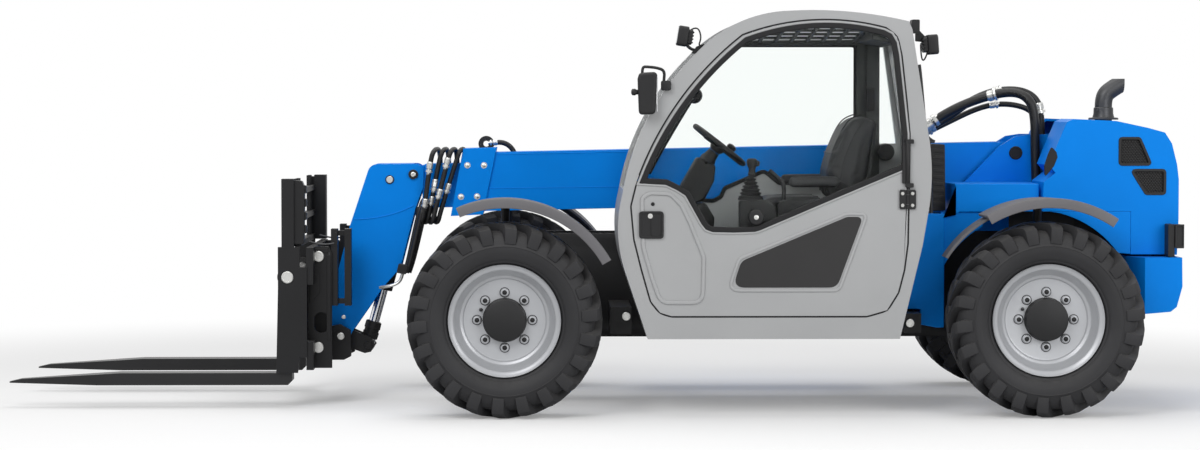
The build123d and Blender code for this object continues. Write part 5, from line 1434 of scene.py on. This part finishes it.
def makeSides():
    addPiece("sillPins", [pinHead((x, -0.5720, z), 0.0190, 0.006, -1, 0.006)
                          for x, z in ((0.146, 0.430), (1.417, 0.398))], "zincSilver", "chassis")
    # dark eye of the boom's pivot pin in both side plates
    addPiece("pivotEyes", [lathe(((-0.004, 0.0), (-0.004, 0.0310), (0.0030, 0.0310), (0.0050, 0.0290),
                                  (0.0050, 0.0240), (0.0015, 0.0225), (0.0015, 0.0)), 48, (1.967, y, 1.152), side)
                           for side, y in ((-1, -0.0600), (1, 0.2500))], "rubberTrim", "chassis")
    # air box between the cab and the body: dark, with slots down its side
    box = [plate([(1.538, 0.893), (1.606, 0.893), (1.602, 1.195), (1.538, 1.197)], -0.330, -0.130, 0.008)]
    for k in range(9):
        box.append(prism([(x, z + 0.030 * k) for x, z in ((1.546, 0.920), (1.598, 0.916), (1.598, 0.932),
                                                          (1.546, 0.936))], -0.3340, -0.3290))
    rounded("airBox", box, "mouldedBlack", "chassis", 0.002)
    # covers on the right-hand tank and engine box
    low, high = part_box("side_tank")
    face, x0, x1, z0, z1 = high[1], low[0], high[0], low[2], high[2]
    third = (x1 - x0) / tank["covers"]
    panels, vents, locks = [], [], []
    for k in range(tank["covers"]):
        ax, bx = x0 + 0.030 + third * k, x0 - 0.030 + third * (k + 1)
        outline = roundOutline(corners(ax, z0 + 0.045, bx, z1 - 0.045), 0.022, 5)
        panels.append(band(outline, insetOutline(outline, 0.012), face - 0.004, face + 0.0040))
        locks.append(lathe(((-0.003, 0.0), (-0.003, 0.017), (0.004, 0.017), (0.0055, 0.015), (0.0055, 0.009),
                            (0.003, 0.008), (0.003, 0.0)), 28, (bx - 0.045, face, z1 - 0.090)))
        if k != 1:
            for row in range(tank["vents"]):
                z = z0 + 0.100 + 0.026 * row
                vents.append(plate(corners(ax + 0.070, z, bx - 0.070, z + 0.012), face - 0.003, face + 0.0030, 0.005))
    rounded("tankPress", panels, "machineBlue", "chassis", 0.0035, 3)
    rounded("tankVents", vents, "mouldedBlack", "chassis", 0.0025)
    addPiece("tankLocks", locks, "mouldedBlack", "chassis")
    # drain tube and its clip down the rear edge of the cab
    addPiece("cabTube", [tube([(1.4246, -0.800, 1.5493), (1.4300, -0.812, 1.500), (1.4560, -0.812, 1.200),
                               (1.4755, -0.812, 1.050), (1.4800, -0.805, 0.900)], 0.0085, 12),
                         plate([(1.448, 1.180), (1.474, 1.180), (1.474, 1.215), (1.446, 1.215)], -0.826, -0.790,
                               0.004, 2)], "hoseRubber", "chassis")
    print("rear done")


# node, finish, body, edge rounding
plainCopies = (
    ("main_frame", "frameBlack", "chassis", 0.004),
    ("front_axle", "frameBlack", "chassis", 0.005),
    ("rear_axle", "frameBlack", "chassis", 0.005),
    ("left_body", "machineBlue", "chassis", 0.006),
    ("right_body", "machineBlue", "chassis", 0.006),
    ("side_tank", "machineBlue", "chassis", 0.020),
    ("counterweight", "machineBlue", "chassis", 0.018),
    ("engine_block", "frameBlack", "chassis", 0.010),
    ("cab_frame", "cabGrey", "chassis", 0.007),
    ("outer_boom", "machineBlue", "outer_boom", 0.006),
    ("inner_boom", "machineBlue", "inner_boom", 0.005),
    ("boom_head", "machineBlue", "inner_boom", 0.005),
    ("lift_barrel", "frameBlack", "lift_barrel", 0.003),
    ("lift_rod", "rodChrome", "lift_rod", 0.002),
    ("tilt_barrel", "frameBlack", "tilt_barrel", 0.003),
    ("tilt_rod", "rodChrome", "tilt_rod", 0.002),
    ("carriage_frame", "frameBlack", "carriage", 0.003),
    ("fork_shaft", "zincSilver", "carriage", 0.003),
    ("forks", "forkSteel", "carriage", 0.004),
    ("load_backrest", "frameBlack", "carriage", 0.003),
    ("door_panel", "cabGrey", "door", 0.005),
    ("hood_shell", "machineBlue", "hood", 0.012),
)
# the tower part of the frame, behind and above these planes, is painted with the body
tower = {"front": 1.45, "floor": 0.40, "foot": 0.79}


def makePlainCopies():
    for nodeName, finishName, bodyName, rounding in plainCopies:
        first, *rest = nodeName.split("_")
        softCopy(nodeName, finishName, bodyName, rounding, first + "".join(word.capitalize() for word in rest))
    mesh = bpy.data.objects["mainFrame"].data
    mesh.materials.append(finish["machineBlue"])
    shape = opened(mesh)
    for point, normal in (((tower["front"], 0, 0), (1, 0, 0)), ((0, 0, tower["floor"]), (0, 0, 1)),
                          ((0, 0, tower["foot"]), (0, 0, 1))):
        sliced(shape, point, normal)
    for face in shape.faces:
        middle = face.calc_center_median()
        if middle.x > tower["front"] and middle.z > tower["foot"]:
            face.material_index = 1
    closed(shape, mesh, False)
    for nodeName in ("cab_glass", "door_glass"):
        painted(bpy.data.objects[nodeName].data, "cabGlass")
    print("plain copies done")


grainGroup = makeGrainGroup()
finish = {name: makeFinish(name, grainGroup) for name in finishes}
finish["cabGlass"] = makeGlassFinish()
ringCopier = makeCopier("aroundAxle", (("Count", "Int"), ("Start Angle", "Float"), ("Centre", "Vector")), (
    ("line", "GeometryNodeMeshLine", {"Offset": origin, "Count": "start.Count"}),
    ("index", "GeometryNodeInputIndex", {}),
    ("share", "Math", {0: "index", 1: "start.Count"}, {"operation": "DIVIDE"}),
    ("turn", "Math", {0: "share", 1: 2 * math.pi, 2: "start.Start Angle"}, {"operation": "MULTIPLY_ADD"}),
    ("vector", "CombineXYZ", {"Y": "turn"}),
    ("copies", "GeometryNodeInstanceOnPoints", {"Points": "line.Mesh", "Instance": "info.Geometry",
                                                "Rotation": "vector"}),
    ("real", "GeometryNodeRealizeInstances", {0: "copies"}),
    ("move", "GeometryNodeTransform", {"Geometry": "real", "Translation": "start.Centre"}),
    ("paint", "GeometryNodeSetMaterial", {"Geometry": "move", "Material": "start.Finish"}),
    ("end", None, {0: "paint"}),
))
spotCopier = makeCopier("copiesOnPoints", (("Size", "Float"),), (
    ("copies", "GeometryNodeInstanceOnPoints", {"Points": "start.Geometry", "Instance": "info.Geometry",
                                                "Scale": "start.Size"}),
    ("real", "GeometryNodeRealizeInstances", {0: "copies"}),
    ("paint", "GeometryNodeSetMaterial", {"Geometry": "real", "Material": "start.Finish"}),
    ("end", None, {0: "paint"}),
))
makeStage()
makeWheels()
makeDoor()
makeLiningsAndShade()
makeSeat()
makeSteering()
makeConsole()
makeMirror()
makeLamps()
makeFenders()
makeBoomNose()
makeCarriage()
makeGrilles()
makeTailLamps()
makeSupply()
makeExhaust()
makeWheelhouses()
makeSides()
makePlainCopies()
